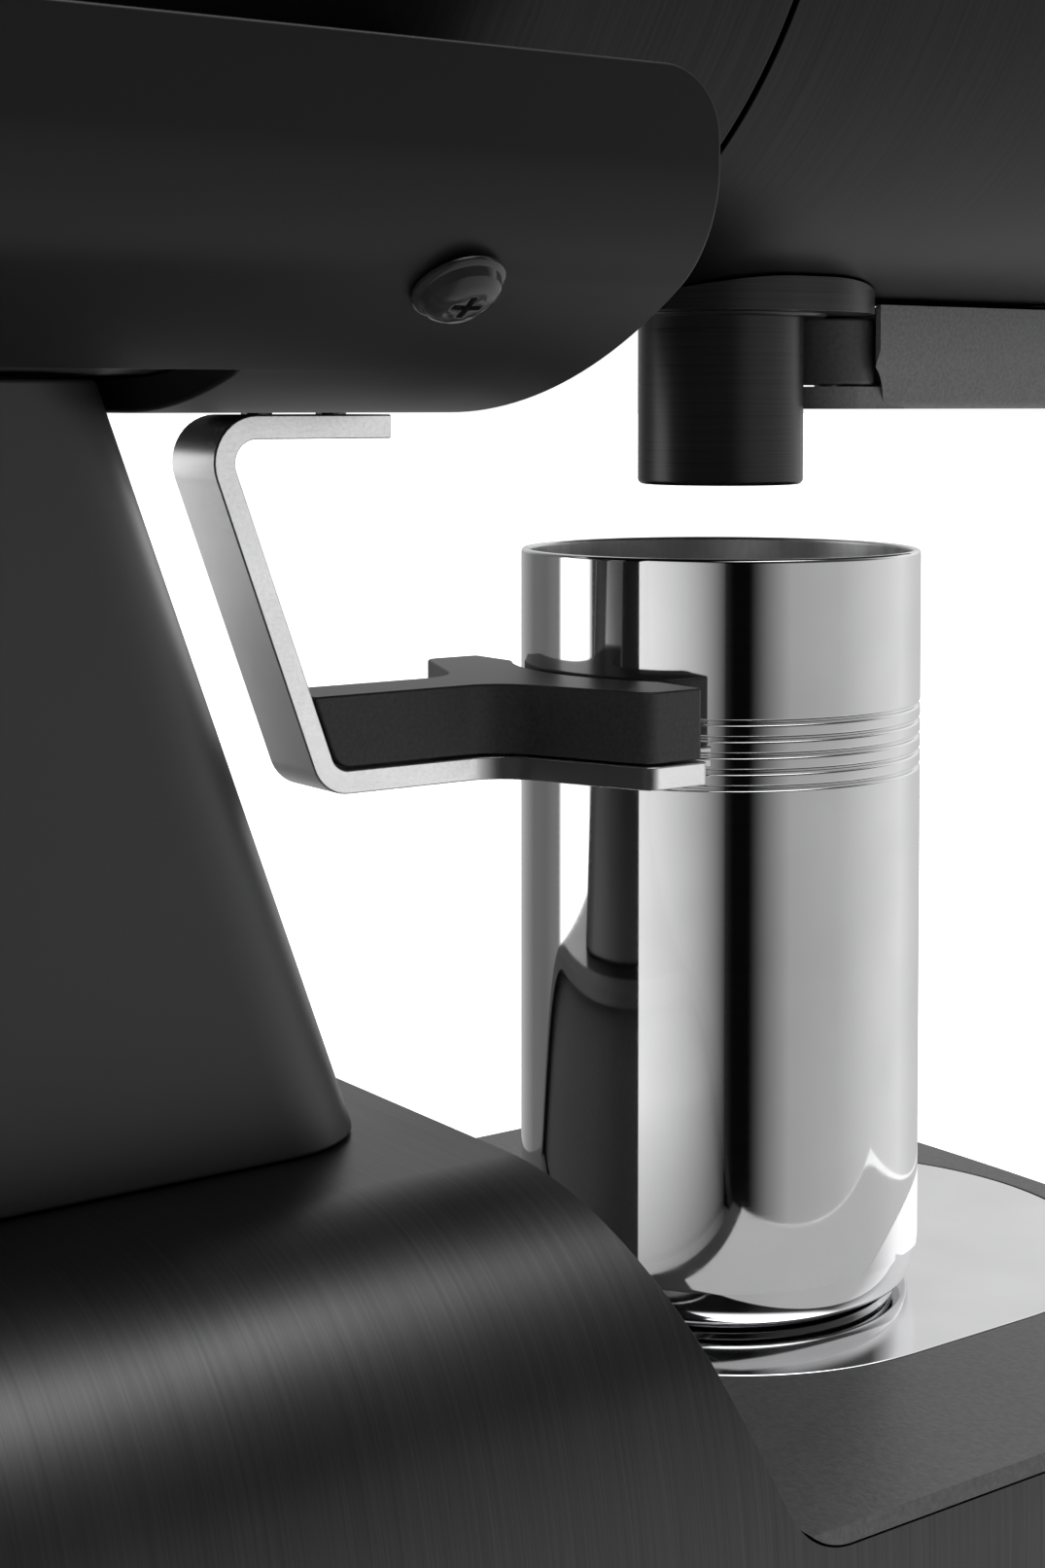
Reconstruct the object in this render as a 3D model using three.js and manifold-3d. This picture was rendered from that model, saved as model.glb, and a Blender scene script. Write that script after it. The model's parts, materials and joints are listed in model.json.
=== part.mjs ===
// A burr coffee grinder with a horizontal drum. The drum holds the motor and the burrs, and lies in
// a bent-sheet cradle on a leaning column. The column stands on a bent-sheet base with a tray in front.
// Millimetres, +Z up, front towards -Y, the floor at z = 0, the cup and the spout on the axis x = y = 0.
import * as THREE from "three";
import { mergeVertices } from "three/addons/utils/BufferGeometryUtils.js";
import Module from "manifold-3d";

const wasm = await Module();
wasm.setup();

// ---- driving dimensions ----
const GAP = 0.3; // clearance between pieces that touch
const SHEET = 4; // bent sheet of the base and the cradle
const HALF_WIDTH = 72.5; // outer half width of the base, the cradle and the tray

const FOOT_RADIUS = 9;
const FOOT_HEIGHT = 4;
const BASE_TOP = 64; // top of the arch
const LOW_WALL_TOP = 22.4; // top of the low walls beside the tray
const BASE_FRONT = -62;
const BASE_REAR = 188;
const ARCH_FRONT = 66.2; // front edge of the arch at its top
const CUT_LEAN = 0.45; // how far the front cut leans back for each millimetre of height
const CUT_FILLET = 10;
const WALL_ROUND = 6; // round at the front end of each low wall

const TRAY_TOP = 25;
const TRAY_FRONT = -68;
const TRAY_PLATE_HALF = 40.8;
const TRAY_PLATE_FRONT = -62.7;
const TRAY_PLATE_REAR = 40.8;

const COLUMN_HALF = 29; // half the column's width
const COLUMN_FRONT = 74.5; // front and rear of the column at its foot
const COLUMN_REAR = 160;
const COLUMN_CORNER = 14;
const COLUMN_WALL = 4;
const COLUMN_LEAN = 0.3706;

const CRADLE_BOTTOM = 151;
const CRADLE_TOP = 187.8;
const CRADLE_FRONT = 61.1;
const CRADLE_REAR = 212;
const CRADLE_CORNER = 7.5;
const OPENING_HALF = 47.5; // cut-out in the cradle's belly, over the column
const OPENING_FRONT = 106;
const OPENING_REAR = 195;
const SADDLE_FLOOR = 160; // what the tie rods' heads bear on

const DRUM_AXIS = 233;
const DRUM_RADIUS = 66;
const DRUM_WALL = 4;
const SEAM = 36.5; // joint between the motor housing and the grinding head
const HEAD_FRONT = -58;
const RING_FRONT = -80;
const CAP_FRONT = -90;
const HOUSING_REAR = 203;
const REAR_END = 222;

const BRACKET_HALF = 5.7; // half width of the bracket's strip
const STRIP = 3.1;
const FORK_TOP = 105; // top of the fork's plate
const FORK_INNER = 29.8; // radius of the fork's mouth round the cup
const PAD_HEIGHT = 9.4;

const CUP_RADIUS = 29;
const CUP_RIM = 131.2;
const CUP_WALL = 1.2;
const SPOUT_RADIUS = 12;
const SPOUT_BORE = 10;
const SPOUT_BOTTOM = 140.45;
const FLANGE_BOTTOM = 165;

const SHAFT_RADIUS = 6;
const BURR_RADIUS = 32;
const BURR_BORE = 17;
const BURR_THICK = 8;
const BURR_FACE = 0; // plane of the rotating burr's teeth
const BURR_GAP = 0.6;

const HOPPER_Y = -30; // the hopper's axis
const HOPPER_RADIUS = 44;
const HOPPER_BOTTOM = 312;
const HOPPER_TOP = 388;

const LEVER_PIN_Y = -21;
const LEVER_BOTTOM = 151.3;
const LEVER_HALF = 9;

const ROUND = 32; // sides of a large round piece
const CURVE = 5; // sides of each arc in an extruded outline

// ---- materials ----
function material(color, roughness, metalness) {
  return new THREE.MeshStandardMaterial({ color, roughness, metalness });
}
const brushedBlack = () => material(0x1d1d1e, 0.35, 0.8);
const satinBlack = () => material(0x232324, 0.55, 0.3);
const blackPlastic = () => material(0x191919, 0.6, 0);
const greyPlastic = () => material(0x4c4c4d, 0.65, 0);
const rubber = () => material(0x141414, 0.9, 0);
const blasted = () => material(0xb9b8b5, 0.45, 0.9);
const steel = () => material(0xc9c9c9, 0.25, 1);
const polished = () => material(0xe0e0e0, 0.06, 1);
const copper = () => material(0x9a5a30, 0.5, 0.8);
const smoked = () => material(0x3a3a3c, 0.08, 0);

// ---- solids ----
function solid(geometry) {
  const bare = geometry.clone();
  bare.deleteAttribute("normal");
  bare.deleteAttribute("uv");
  const merged = mergeVertices(bare, 1e-4);
  return new wasm.Manifold(
    new wasm.Mesh({
      numProp: 3,
      vertProperties: merged.attributes.position.array,
      triVerts: new Uint32Array(merged.index.array),
    }),
  );
}

function geometryOf(body) {
  const { numProp, numVert, vertProperties, triVerts } = body.getMesh();
  const positions = new Float32Array(numVert * 3);
  for (let i = 0; i < numVert; i++) {
    positions.set(vertProperties.subarray(i * numProp, i * numProp + 3), i * 3);
  }
  const geometry = new THREE.BufferGeometry();
  geometry.setAttribute("position", new THREE.BufferAttribute(positions, 3));
  geometry.setIndex(new THREE.BufferAttribute(triVerts, 1));
  return geometry;
}

function cut(geometry, ...tools) {
  return geometryOf(tools.reduce((body, tool) => body.subtract(solid(tool)), solid(geometry)));
}

function join(geometry, ...others) {
  return geometryOf(others.reduce((body, other) => body.add(solid(other)), solid(geometry)));
}

function common(a, b) {
  return geometryOf(solid(a).intersect(solid(b)));
}

// A body turned round the Y axis, from [radius, y] points.
function turnedAlongY(points, segments = ROUND) {
  const profile = points.map(([radius, y]) => new THREE.Vector2(radius, y));
  if (THREE.ShapeUtils.area(profile) < 0) profile.reverse();
  const onAxis = profile[0].x === 0 && profile.at(-1).x === 0;
  if (!onAxis) profile.push(profile[0].clone());
  return new THREE.LatheGeometry(profile, segments);
}

// A body turned round a vertical axis, from [radius, z] points.
function turnedUpright(points, segments = ROUND) {
  return turnedAlongY(points, segments).rotateX(Math.PI / 2);
}

function tubeAlongY(outer, inner, from, to, segments = ROUND) {
  return turnedAlongY([[inner, from], [outer, from], [outer, to], [inner, to]], segments);
}

function rodAlongY(radius, from, to, segments = ROUND / 2) {
  return turnedAlongY([[0, from], [radius, from], [radius, to], [0, to]], segments);
}

function rodUpright(radius, from, to, segments = ROUND / 2) {
  return turnedUpright([[0, from], [radius, from], [radius, to], [0, to]], segments);
}

function box(from, to) {
  const size = from.map((low, i) => to[i] - low);
  const centre = from.map((low, i) => (low + to[i]) / 2);
  return new THREE.BoxGeometry(...size).translate(...centre);
}

// Extrudes an outline once the doubled points where its lines and arcs meet are dropped.
function extruded(shape, depth, curveSegments = CURVE) {
  const points = shape.getPoints(curveSegments);
  const distinct = points.filter((point, i) => point.distanceTo(points.at(i - 1)) > 1e-3);
  return new THREE.ExtrudeGeometry(new THREE.Shape(distinct), { depth, bevelEnabled: false });
}

// A shape drawn in (x, y), raised from z = from to z = to.
function raised(shape, from, to, curveSegments) {
  return extruded(shape, to - from, curveSegments).translate(0, 0, from);
}

// A shape drawn in (x, z), carried from y = from to y = to.
function carriedAlongY(shape, from, to, curveSegments) {
  return extruded(shape, to - from, curveSegments).rotateX(Math.PI / 2).translate(0, to, 0);
}

// A shape drawn in (y, z), carried from x = -half to x = half.
function carriedAcross(shape, half, curveSegments) {
  const turn = new THREE.Matrix4().makeBasis(
    new THREE.Vector3(0, 1, 0),
    new THREE.Vector3(0, 0, 1),
    new THREE.Vector3(1, 0, 0),
  );
  return extruded(shape, 2 * half, curveSegments).applyMatrix4(turn).translate(-half, 0, 0);
}

function roundedRectangle(left, bottom, right, top, radius) {
  const shape = new THREE.Shape();
  shape.absarc(right - radius, bottom + radius, radius, -Math.PI / 2, 0);
  shape.absarc(right - radius, top - radius, radius, 0, Math.PI / 2);
  shape.absarc(left + radius, top - radius, radius, Math.PI / 2, Math.PI);
  shape.absarc(left + radius, bottom + radius, radius, Math.PI, 1.5 * Math.PI);
  shape.closePath();
  return shape;
}

// A closed outline through the given corners, each rounded by its own radius, or sharp without one.
function filletedOutline(points, radii) {
  const shape = new THREE.Shape();
  const count = points.length;
  points.forEach(([x, y], i) => {
    const here = new THREE.Vector2(x, y);
    const before = new THREE.Vector2(...points[(i + count - 1) % count]).sub(here).normalize();
    const after = new THREE.Vector2(...points[(i + 1) % count]).sub(here).normalize();
    const radius = radii[i] ?? 0;
    if (radius === 0) {
      if (i === 0) shape.moveTo(x, y);
      else shape.lineTo(x, y);
      return;
    }
    const half = Math.acos(before.dot(after)) / 2;
    const reach = radius / Math.tan(half);
    const start = here.clone().addScaledVector(before, reach);
    const end = here.clone().addScaledVector(after, reach);
    const inwards = before.clone().add(after).normalize();
    const centre = here.clone().addScaledVector(inwards, radius / Math.sin(half));
    const clockwise = before.cross(after) > 0;
    const from = start.clone().sub(centre).angle();
    const to = end.clone().sub(centre).angle();
    if (i === 0) shape.moveTo(start.x, start.y);
    else shape.lineTo(start.x, start.y);
    shape.absarc(centre.x, centre.y, radius, from, to, clockwise);
  });
  shape.closePath();
  return shape;
}

const grinder = new THREE.Group();

function add(name, geometry, finish, parent = grinder) {
  const mesh = new THREE.Mesh(geometry, finish);
  mesh.name = name;
  parent.add(mesh);
  return mesh;
}

// ---- bent-sheet channels ----
// A channel's section lies in (x, z): a flat of half width `flat` at z = 0, a first bend of radius
// `bend` through `turn`, and a second bend that ends upright at the channel's half width.
const ARCH = { flat: 40.75, bend: 28.9, turn: 1.25 };
const BELLY = { flat: 21.3, bend: 79.5, turn: 0.59 };

function channelCentres({ flat, bend, turn }) {
  const second = (HALF_WIDTH - flat - bend * Math.sin(turn)) / (1 - Math.sin(turn));
  return {
    second,
    secondX: flat + (bend - second) * Math.sin(turn),
    secondZ: bend - (bend - second) * Math.cos(turn),
  };
}

// Draws one edge of the section from left to right, `inset` inside the outer surface.
function channelEdge(shape, kind, inset, top) {
  const { second, secondX, secondZ } = channelCentres(kind);
  const down = 1.5 * Math.PI;
  shape.moveTo(-HALF_WIDTH + inset, top);
  shape.lineTo(-HALF_WIDTH + inset, secondZ);
  shape.absarc(-secondX, secondZ, second - inset, Math.PI, down - kind.turn);
  shape.absarc(-kind.flat, kind.bend, kind.bend - inset, down - kind.turn, down);
  shape.absarc(kind.flat, kind.bend, kind.bend - inset, down, down + kind.turn);
  shape.absarc(secondX, secondZ, second - inset, down + kind.turn, 2 * Math.PI);
  shape.lineTo(HALF_WIDTH - inset, top);
}

// The solid inside the section, closed off at z = top.
function channelFill(kind, inset, top) {
  const shape = new THREE.Shape();
  channelEdge(shape, kind, inset, top);
  shape.closePath();
  return shape;
}

function channel(kind, from, to, height) {
  const outside = carriedAlongY(channelFill(kind, 0, height), from, to);
  const inside = carriedAlongY(channelFill(kind, SHEET, height + 1), from - 1, to + 1);
  return cut(outside, inside);
}

// Leans a body back by the column's slope; its points at z = 0 stay where they are.
function leaned(geometry) {
  return geometry.applyMatrix4(new THREE.Matrix4().makeShear(0, 0, 0, 0, 0, COLUMN_LEAN));
}

// A leaning round bar, or the tool for its hole, whose axis meets the top of the arch at y.
function leaningRod(y, radius, from, to, segments = 12) {
  return leaned(rodUpright(radius, from, to, segments)).translate(0, y - COLUMN_LEAN * BASE_TOP, 0);
}

// ---- base ----
const SHELL_BOTTOM = FOOT_HEIGHT + GAP;
const INSIDE = SHEET + GAP; // inset of what lies against the inside of a channel
const BASE_PLATE_TOP = SHELL_BOTTOM + 5;
const ROD_RADIUS = 4;
const ROD_HOLE = 4.4;
const HEAD_WELL = 9; // radius of the well round each tie rod's head
const ROD_YS = [101, 139];

function cutLine(z) {
  return ARCH_FRONT + CUT_LEAN * (z - BASE_TOP);
}

function archFill(inset, from, to) {
  const fill = channelFill(ARCH, inset, BASE_TOP - SHELL_BOTTOM);
  return carriedAlongY(fill, from, to).rotateY(Math.PI).translate(0, 0, BASE_TOP);
}

// The base's outline from the side, grown by a margin along its low walls and its slanted cut.
function baseSide(margin) {
  const front = BASE_FRONT - margin;
  const low = LOW_WALL_TOP + margin;
  const high = BASE_TOP + 2;
  const slant = (z) => cutLine(z) - margin * Math.hypot(1, CUT_LEAN);
  return filletedOutline(
    [
      [front, SHELL_BOTTOM],
      [BASE_REAR, SHELL_BOTTOM],
      [BASE_REAR, high],
      [slant(high), high],
      [slant(low), low],
      [front, low],
    ],
    [0, 0, 0, 0, CUT_FILLET - margin, WALL_ROUND + margin],
  );
}

function baseShell() {
  const sheet = channel(ARCH, BASE_FRONT, BASE_REAR, BASE_TOP - SHELL_BOTTOM);
  const shell = common(
    sheet.rotateY(Math.PI).translate(0, 0, BASE_TOP),
    carriedAcross(baseSide(0), HALF_WIDTH + 1),
  );
  return cut(shell, ...ROD_YS.map((y) => leaningRod(y, ROD_HOLE, BASE_TOP - 12, BASE_TOP + 8)));
}

function frontPanel() {
  const depth = 3;
  const recess = 5;
  const low = TRAY_TOP + GAP;
  const slab = new THREE.Shape([
    new THREE.Vector2(cutLine(low) + recess, low),
    new THREE.Vector2(cutLine(low) + recess + depth, low),
    new THREE.Vector2(cutLine(BASE_TOP) + recess + depth, BASE_TOP),
    new THREE.Vector2(cutLine(BASE_TOP) + recess, BASE_TOP),
  ]);
  return common(archFill(INSIDE, 30, 90), carriedAcross(slab, HALF_WIDTH));
}

const REAR_PANEL = { from: BASE_REAR - 4, to: BASE_REAR - 1 };
const INLET = { x: 24, z: 31, width: 27, height: 20 };
const ROCKER = { x: -26, z: 31, width: 20, height: 13 };

function opening({ x, z, width, height }, from, to, margin = GAP) {
  const across = width / 2 + margin;
  const up = height / 2 + margin;
  return box([x - across, from, z - up], [x + across, to, z + up]);
}

function rearPanel() {
  const fill = archFill(INSIDE, REAR_PANEL.from, REAR_PANEL.to);
  const belowIt = box([-80, 150, 0], [80, 220, BASE_PLATE_TOP + GAP]);
  return cut(fill, belowIt, opening(INLET, 180, 190), opening(ROCKER, 180, 190));
}

// The mains inlet: a flanged socket, open to the rear, with three blades standing in it.
function powerInlet() {
  const { x, z, width, height } = INLET;
  const flange = REAR_PANEL.to + GAP;
  const lip = flange + 2;
  const floor = flange - 14;
  const body = join(
    opening(INLET, floor - 3, flange + 1, 0),
    box([x - width / 2 - 3, flange, z - height / 2 - 3], [x + width / 2 + 3, lip, z + height / 2 + 3]),
  );
  const socket = box([x - 10.5, floor, z - 7], [x + 10.5, lip + 1, z + 7]);
  const blade = (across, up) =>
    box([x + across - 1, floor - 1, z + up - 2], [x + across + 1, lip - 6, z + up + 2]);
  return join(cut(body, socket), blade(-6, -1), blade(0, 2), blade(6, -1));
}

// The rocker turns about an axis along X through its own origin.
function powerRocker() {
  const deep = 6;
  const shape = new THREE.Shape([
    new THREE.Vector2(-deep, -4.5),
    new THREE.Vector2(0.6, -5.2),
    new THREE.Vector2(-0.6, 0),
    new THREE.Vector2(2.4, 5),
    new THREE.Vector2(-deep, 4.5),
  ]);
  return carriedAcross(shape, ROCKER.width / 2 - 1);
}

function trayOutline() {
  const half = HALF_WIDTH;
  const rear = cutLine(TRAY_TOP);
  const shape = new THREE.Shape();
  shape.moveTo(half, rear);
  shape.lineTo(-half, rear);
  shape.lineTo(-half, -52);
  shape.quadraticCurveTo(-half, -62.6, -58, -64.4);
  shape.quadraticCurveTo(0, 2 * TRAY_FRONT + 64.4, 58, -64.4);
  shape.quadraticCurveTo(half, -62.6, half, -52);
  shape.closePath();
  return shape;
}

function trayPlateOutline(radius) {
  const rear = TRAY_PLATE_REAR - TRAY_PLATE_HALF;
  const front = TRAY_PLATE_FRONT + TRAY_PLATE_HALF;
  const shape = new THREE.Shape();
  shape.absarc(0, rear, radius, 0, Math.PI);
  shape.absarc(0, front, radius, Math.PI, 2 * Math.PI);
  shape.closePath();
  return shape;
}

// The tray's rim lies on the low walls and its skirt hangs in front of them.
function dripTray() {
  const inner = HALF_WIDTH - SHEET - 1;
  const rim = cut(
    raised(trayOutline(), SHELL_BOTTOM + 1, TRAY_TOP),
    carriedAcross(baseSide(GAP), HALF_WIDTH + 1),
  );
  const slab = box(
    [-inner, BASE_FRONT + 1, TRAY_TOP - 5],
    [inner, cutLine(TRAY_TOP) + 3, TRAY_TOP - 0.01],
  );
  const pocket = raised(trayPlateOutline(TRAY_PLATE_HALF + GAP), TRAY_TOP - 1.8, TRAY_TOP + 1, ROUND / 2);
  return cut(join(rim, slab), pocket);
}

function trayPlate() {
  return raised(trayPlateOutline(TRAY_PLATE_HALF), TRAY_TOP - 1.5, TRAY_TOP, ROUND / 2);
}

function controlBoard() {
  const level = BASE_PLATE_TOP + 5;
  const board = box([6, 70, level], [60, 150, level + 1.6]);
  const legs = [[9, 73], [57, 73], [9, 147], [57, 147]].map(([x, y]) =>
    rodUpright(2.5, BASE_PLATE_TOP + GAP, level + 1, 12).translate(x, y, 0),
  );
  const chips = [
    box([14, 84, level + 1], [26, 96, level + 3.5]),
    box([34, 84, level + 1], [54, 104, level + 14]),
    box([14, 112, level + 1], [30, 140, level + 9]),
  ];
  return join(board, ...legs, ...chips);
}

function addBase() {
  add("base_shell", baseShell(), brushedBlack());
  const plate = roundedRectangle(
    -HALF_WIDTH + INSIDE, BASE_FRONT + 2, HALF_WIDTH - INSIDE, BASE_REAR - 3, 4,
  );
  add("base_plate", raised(plate, SHELL_BOTTOM, BASE_PLATE_TOP, 4), steel());
  for (const [side, x] of [["left", -56], ["right", 56]]) {
    for (const [end, y] of [["front", -48], ["rear", 172]]) {
      const foot = rodUpright(FOOT_RADIUS, 0, FOOT_HEIGHT);
      add(`foot_${end}_${side}`, foot, rubber()).position.set(x, y, 0);
    }
  }
  add("front_panel", frontPanel(), blackPlastic());
  add("rear_panel", rearPanel(), blackPlastic());
  add("power_inlet", powerInlet(), blackPlastic());
  const rocker = add("power_rocker", powerRocker(), blackPlastic());
  rocker.position.set(ROCKER.x, REAR_PANEL.to, ROCKER.z);
  add("drip_tray", dripTray(), blackPlastic());
  add("tray_plate", trayPlate(), polished());
  add("control_board", controlBoard(), material(0x24563a, 0.6, 0.1));
  const supply = roundedRectangle(-62, 70, -6, 160, 3);
  add("power_supply", raised(supply, BASE_PLATE_TOP + GAP, BASE_PLATE_TOP + 34, 4), steel());
}

// ---- column ----
function columnOutline(inset) {
  const half = COLUMN_HALF - inset;
  return roundedRectangle(
    -half, COLUMN_FRONT + inset, half, COLUMN_REAR - inset, COLUMN_CORNER - inset,
  );
}

// The column is a leaning tube; its top stands in the cradle's opening, under the saddle blocks.
function column() {
  const from = BASE_TOP + GAP;
  const to = CRADLE_BOTTOM + SHEET - GAP;
  const tube = cut(
    raised(columnOutline(0), from, to, 8),
    raised(columnOutline(COLUMN_WALL), from - 1, to + 1, 6),
  );
  return leaned(tube).translate(0, -COLUMN_LEAN * BASE_TOP, 0);
}

// A tie rod clamps a saddle block, the column and the arch together between its head and its nut.
function tieRod(y) {
  const headFrom = SADDLE_FLOOR + GAP;
  const nutTo = BASE_TOP - SHEET - 3;
  return join(
    leaningRod(y, ROD_RADIUS, nutTo - 4, headFrom + 1),
    leaningRod(y, 7, headFrom, headFrom + 4, 6),
    leaningRod(y, 7, nutTo - 5, nutTo, 6),
  );
}

function addColumn() {
  add("column", column(), satinBlack());
  add("tie_rod_front", tieRod(ROD_YS[0]), steel());
  add("tie_rod_rear", tieRod(ROD_YS[1]), steel());
}

// ---- cradle ----
// Each screw stands square to the cradle's second bend and points at the bend's centre.
const SCREW_YS = [90.5, 186];
const SCREW_TURN = 0.59;
const SCREW_HOLE = 2.6;
const BEND = channelCentres(BELLY);
const BEND_LEVEL = CRADLE_BOTTOM + BEND.secondZ;
const SADDLES = [[81.5, 150], [150 + GAP, 195]];

function screwHole(side, y) {
  return rodUpright(SCREW_HOLE, -BEND.second - 3, -1, 12)
    .rotateY(-side * SCREW_TURN)
    .translate(side * BEND.secondX, y, BEND_LEVEL);
}

function cradle() {
  const height = CRADLE_TOP - CRADLE_BOTTOM;
  const side = filletedOutline(
    [
      [CRADLE_FRONT, -1],
      [CRADLE_REAR, -1],
      [CRADLE_REAR, height],
      [CRADLE_FRONT, height],
    ],
    [0, 0, CRADLE_CORNER, CRADLE_CORNER],
  );
  const sheet = common(
    channel(BELLY, CRADLE_FRONT, CRADLE_REAR, height),
    carriedAcross(side, HALF_WIDTH + 1),
  ).translate(0, 0, CRADLE_BOTTOM);
  const over = box(
    [-OPENING_HALF, OPENING_FRONT, CRADLE_BOTTOM - 1],
    [OPENING_HALF, OPENING_REAR, CRADLE_BOTTOM + 12],
  );
  const bracketScrews = BRACKET_SCREW_YS.map((y) =>
    rodUpright(SCREW_HOLE, CRADLE_BOTTOM - 2, CRADLE_BOTTOM + 8, 12).translate(0, y, 0),
  );
  const screws = SCREW_YS.flatMap((y) => [screwHole(-1, y), screwHole(1, y)]);
  return cut(sheet, over, ...bracketScrews, ...screws);
}

// A cap screw along its own Z axis, head down, with a crossed recess in the head.
function cradleScrew() {
  const seat = -BEND.second - GAP;
  const screw = turnedUpright(
    [[0, seat - 3.2], [2.8, seat - 3], [4.3, seat - 2.2], [5.1, seat - 1], [5.1, seat], [2.3, seat],
      [2.3, -2], [0, -2]],
    16,
  );
  const slot = (wide, deep) =>
    box([-wide, -deep, seat - 4], [wide, deep, seat - 1.6]);
  return cut(screw, slot(2.3, 0.5), slot(0.5, 2.3));
}

// A block between the cradle's belly and the drum, from one y to another.
function saddleBlock(from, to) {
  const top = CRADLE_TOP - CRADLE_BOTTOM - 3;
  const fill = carriedAlongY(channelFill(BELLY, INSIDE, top), from, to);
  const inside = (y) => y > from && y < to;
  return cut(
    fill.translate(0, 0, CRADLE_BOTTOM),
    rodAlongY(DRUM_RADIUS + GAP, from - 1, to + 1, ROUND).translate(0, 0, DRUM_AXIS),
    ...SCREW_YS.filter(inside).flatMap((y) => [screwHole(-1, y), screwHole(1, y)]),
    ...ROD_YS.flatMap((y) => [
      leaningRod(y, ROD_HOLE, CRADLE_BOTTOM, SADDLE_FLOOR + 1),
      leaningRod(y, HEAD_WELL, SADDLE_FLOOR, DRUM_AXIS - DRUM_RADIUS + 4),
    ]),
  );
}

function addCradle() {
  add("cradle", cradle(), satinBlack());
  const screws = cradleScrew();
  for (const [side, name] of [[-1, "left"], [1, "right"]]) {
    SCREW_YS.forEach((y, i) => {
      const screw = add(`cradle_screw_${["front", "rear"][i]}_${name}`, screws, satinBlack());
      screw.rotation.y = -side * SCREW_TURN;
      screw.position.set(side * BEND.secondX, y, BEND_LEVEL);
    });
  }
  SADDLES.forEach(([from, to], i) => {
    add(`saddle_block_${["front", "rear"][i]}`, saddleBlock(from, to), blackPlastic());
  });
}

// ---- bracket ----
const BRACKET_SCREW_YS = [66, 77];
const LEG_FRONT = 68.65; // front face of the slanted leg at the top of the fork's plate

function legFront(z) {
  return LEG_FRONT + COLUMN_LEAN * (z - FORK_TOP);
}

function legRear(z) {
  return legFront(z) + 3.2;
}

function bracketSide() {
  const top = CRADLE_BOTTOM - GAP;
  const front = 60.3;
  const tip = 24.5;
  const bottom = FORK_TOP - STRIP;
  return filletedOutline(
    [
      [front, top],
      [front, top - STRIP],
      [legFront(top - STRIP), top - STRIP],
      [legFront(FORK_TOP), FORK_TOP],
      [tip, FORK_TOP],
      [tip, bottom],
      [legRear(bottom), bottom],
      [legRear(top), top],
    ],
    [0, 0, 3, 2.5, 0, 0, 5.5, 6],
  );
}

// The fork seen from above, from the stem to the tips of its prongs.
function forkOutline(inset) {
  const stem = BRACKET_HALF - inset;
  const wide = 26.8 - inset;
  const tip = 24.5 + inset;
  const corners = [
    [stem, 43.2], [stem, 100], [-stem, 100], [-stem, 43.2], [-wide, 34], [-wide, tip], [wide, tip], [wide, 34],
  ];
  return filletedOutline(corners, [8, 0, 0, 8, 2.5, 0.8, 0.8, 2.5]);
}

function forkBracket() {
  const strip = common(
    carriedAcross(bracketSide(), 30, 4),
    raised(forkOutline(0), FORK_TOP - 10, CRADLE_BOTTOM + 5, 4),
  );
  const holes = BRACKET_SCREW_YS.map((y) =>
    rodUpright(2.4, CRADLE_BOTTOM - 6, CRADLE_BOTTOM + 2, 16).translate(0, y, 0),
  );
  return cut(strip, rodUpright(FORK_INNER, FORK_TOP - 10, FORK_TOP + 5, 48), ...holes);
}

function forkPad() {
  const bottom = FORK_TOP + GAP;
  const top = bottom + PAD_HEIGHT;
  const clear = 0.6;
  const side = filletedOutline(
    [[20, bottom], [legFront(bottom) - clear, bottom], [legFront(top) - clear, top], [20, top]],
    [0, 3, 0, 0],
  );
  const pad = common(carriedAcross(side, 30, 4), raised(forkOutline(0.5), bottom, top, 4));
  return cut(pad, rodUpright(FORK_INNER + 0.5, bottom - 1, top + 1, 48));
}

function bracketScrew() {
  const seat = CRADLE_BOTTOM + SHEET + GAP;
  const foot = CRADLE_BOTTOM - STRIP;
  return turnedUpright([[0, foot], [2, foot], [2, seat], [4, seat], [4, seat + 2.5], [0, seat + 2.5]], 16);
}

function addBracket() {
  add("fork_bracket", forkBracket(), blasted());
  add("fork_pad", forkPad(), rubber());
  BRACKET_SCREW_YS.forEach((y, i) => {
    add(`bracket_screw_${["front", "rear"][i]}`, bracketScrew(), steel()).position.set(0, y, 0);
  });
}

// ---- cup, spout and flange ----
// The cup stands on a narrow ring under its floor, and its bottom edge is rounded.
function cup() {
  const foot = TRAY_TOP + GAP;
  const inner = CUP_RADIUS - CUP_WALL;
  return turnedUpright(
    [
      [0, foot + 1], [23, foot + 1], [23.4, foot], [25.4, foot], [25.6, foot + 0.9],
      [27.3, foot + 1.1], [28.5, foot + 3], [CUP_RADIUS, foot + 6.5],
      [CUP_RADIUS, CUP_RIM - 0.4], [CUP_RADIUS - 0.4, CUP_RIM], [inner + 0.3, CUP_RIM],
      [inner, CUP_RIM - 0.3], [inner, foot + 6], [26.4, foot + 2.6], [0, foot + 2.2],
    ],
  );
}

function spout() {
  const top = FLANGE_BOTTOM - GAP;
  return turnedUpright(
    [
      [SPOUT_BORE, SPOUT_BOTTOM + 0.4], [SPOUT_BORE + 0.4, SPOUT_BOTTOM],
      [SPOUT_RADIUS - 0.4, SPOUT_BOTTOM], [SPOUT_RADIUS, SPOUT_BOTTOM + 0.4],
      [SPOUT_RADIUS, top], [SPOUT_BORE, top],
    ],
    32,
  );
}

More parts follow.
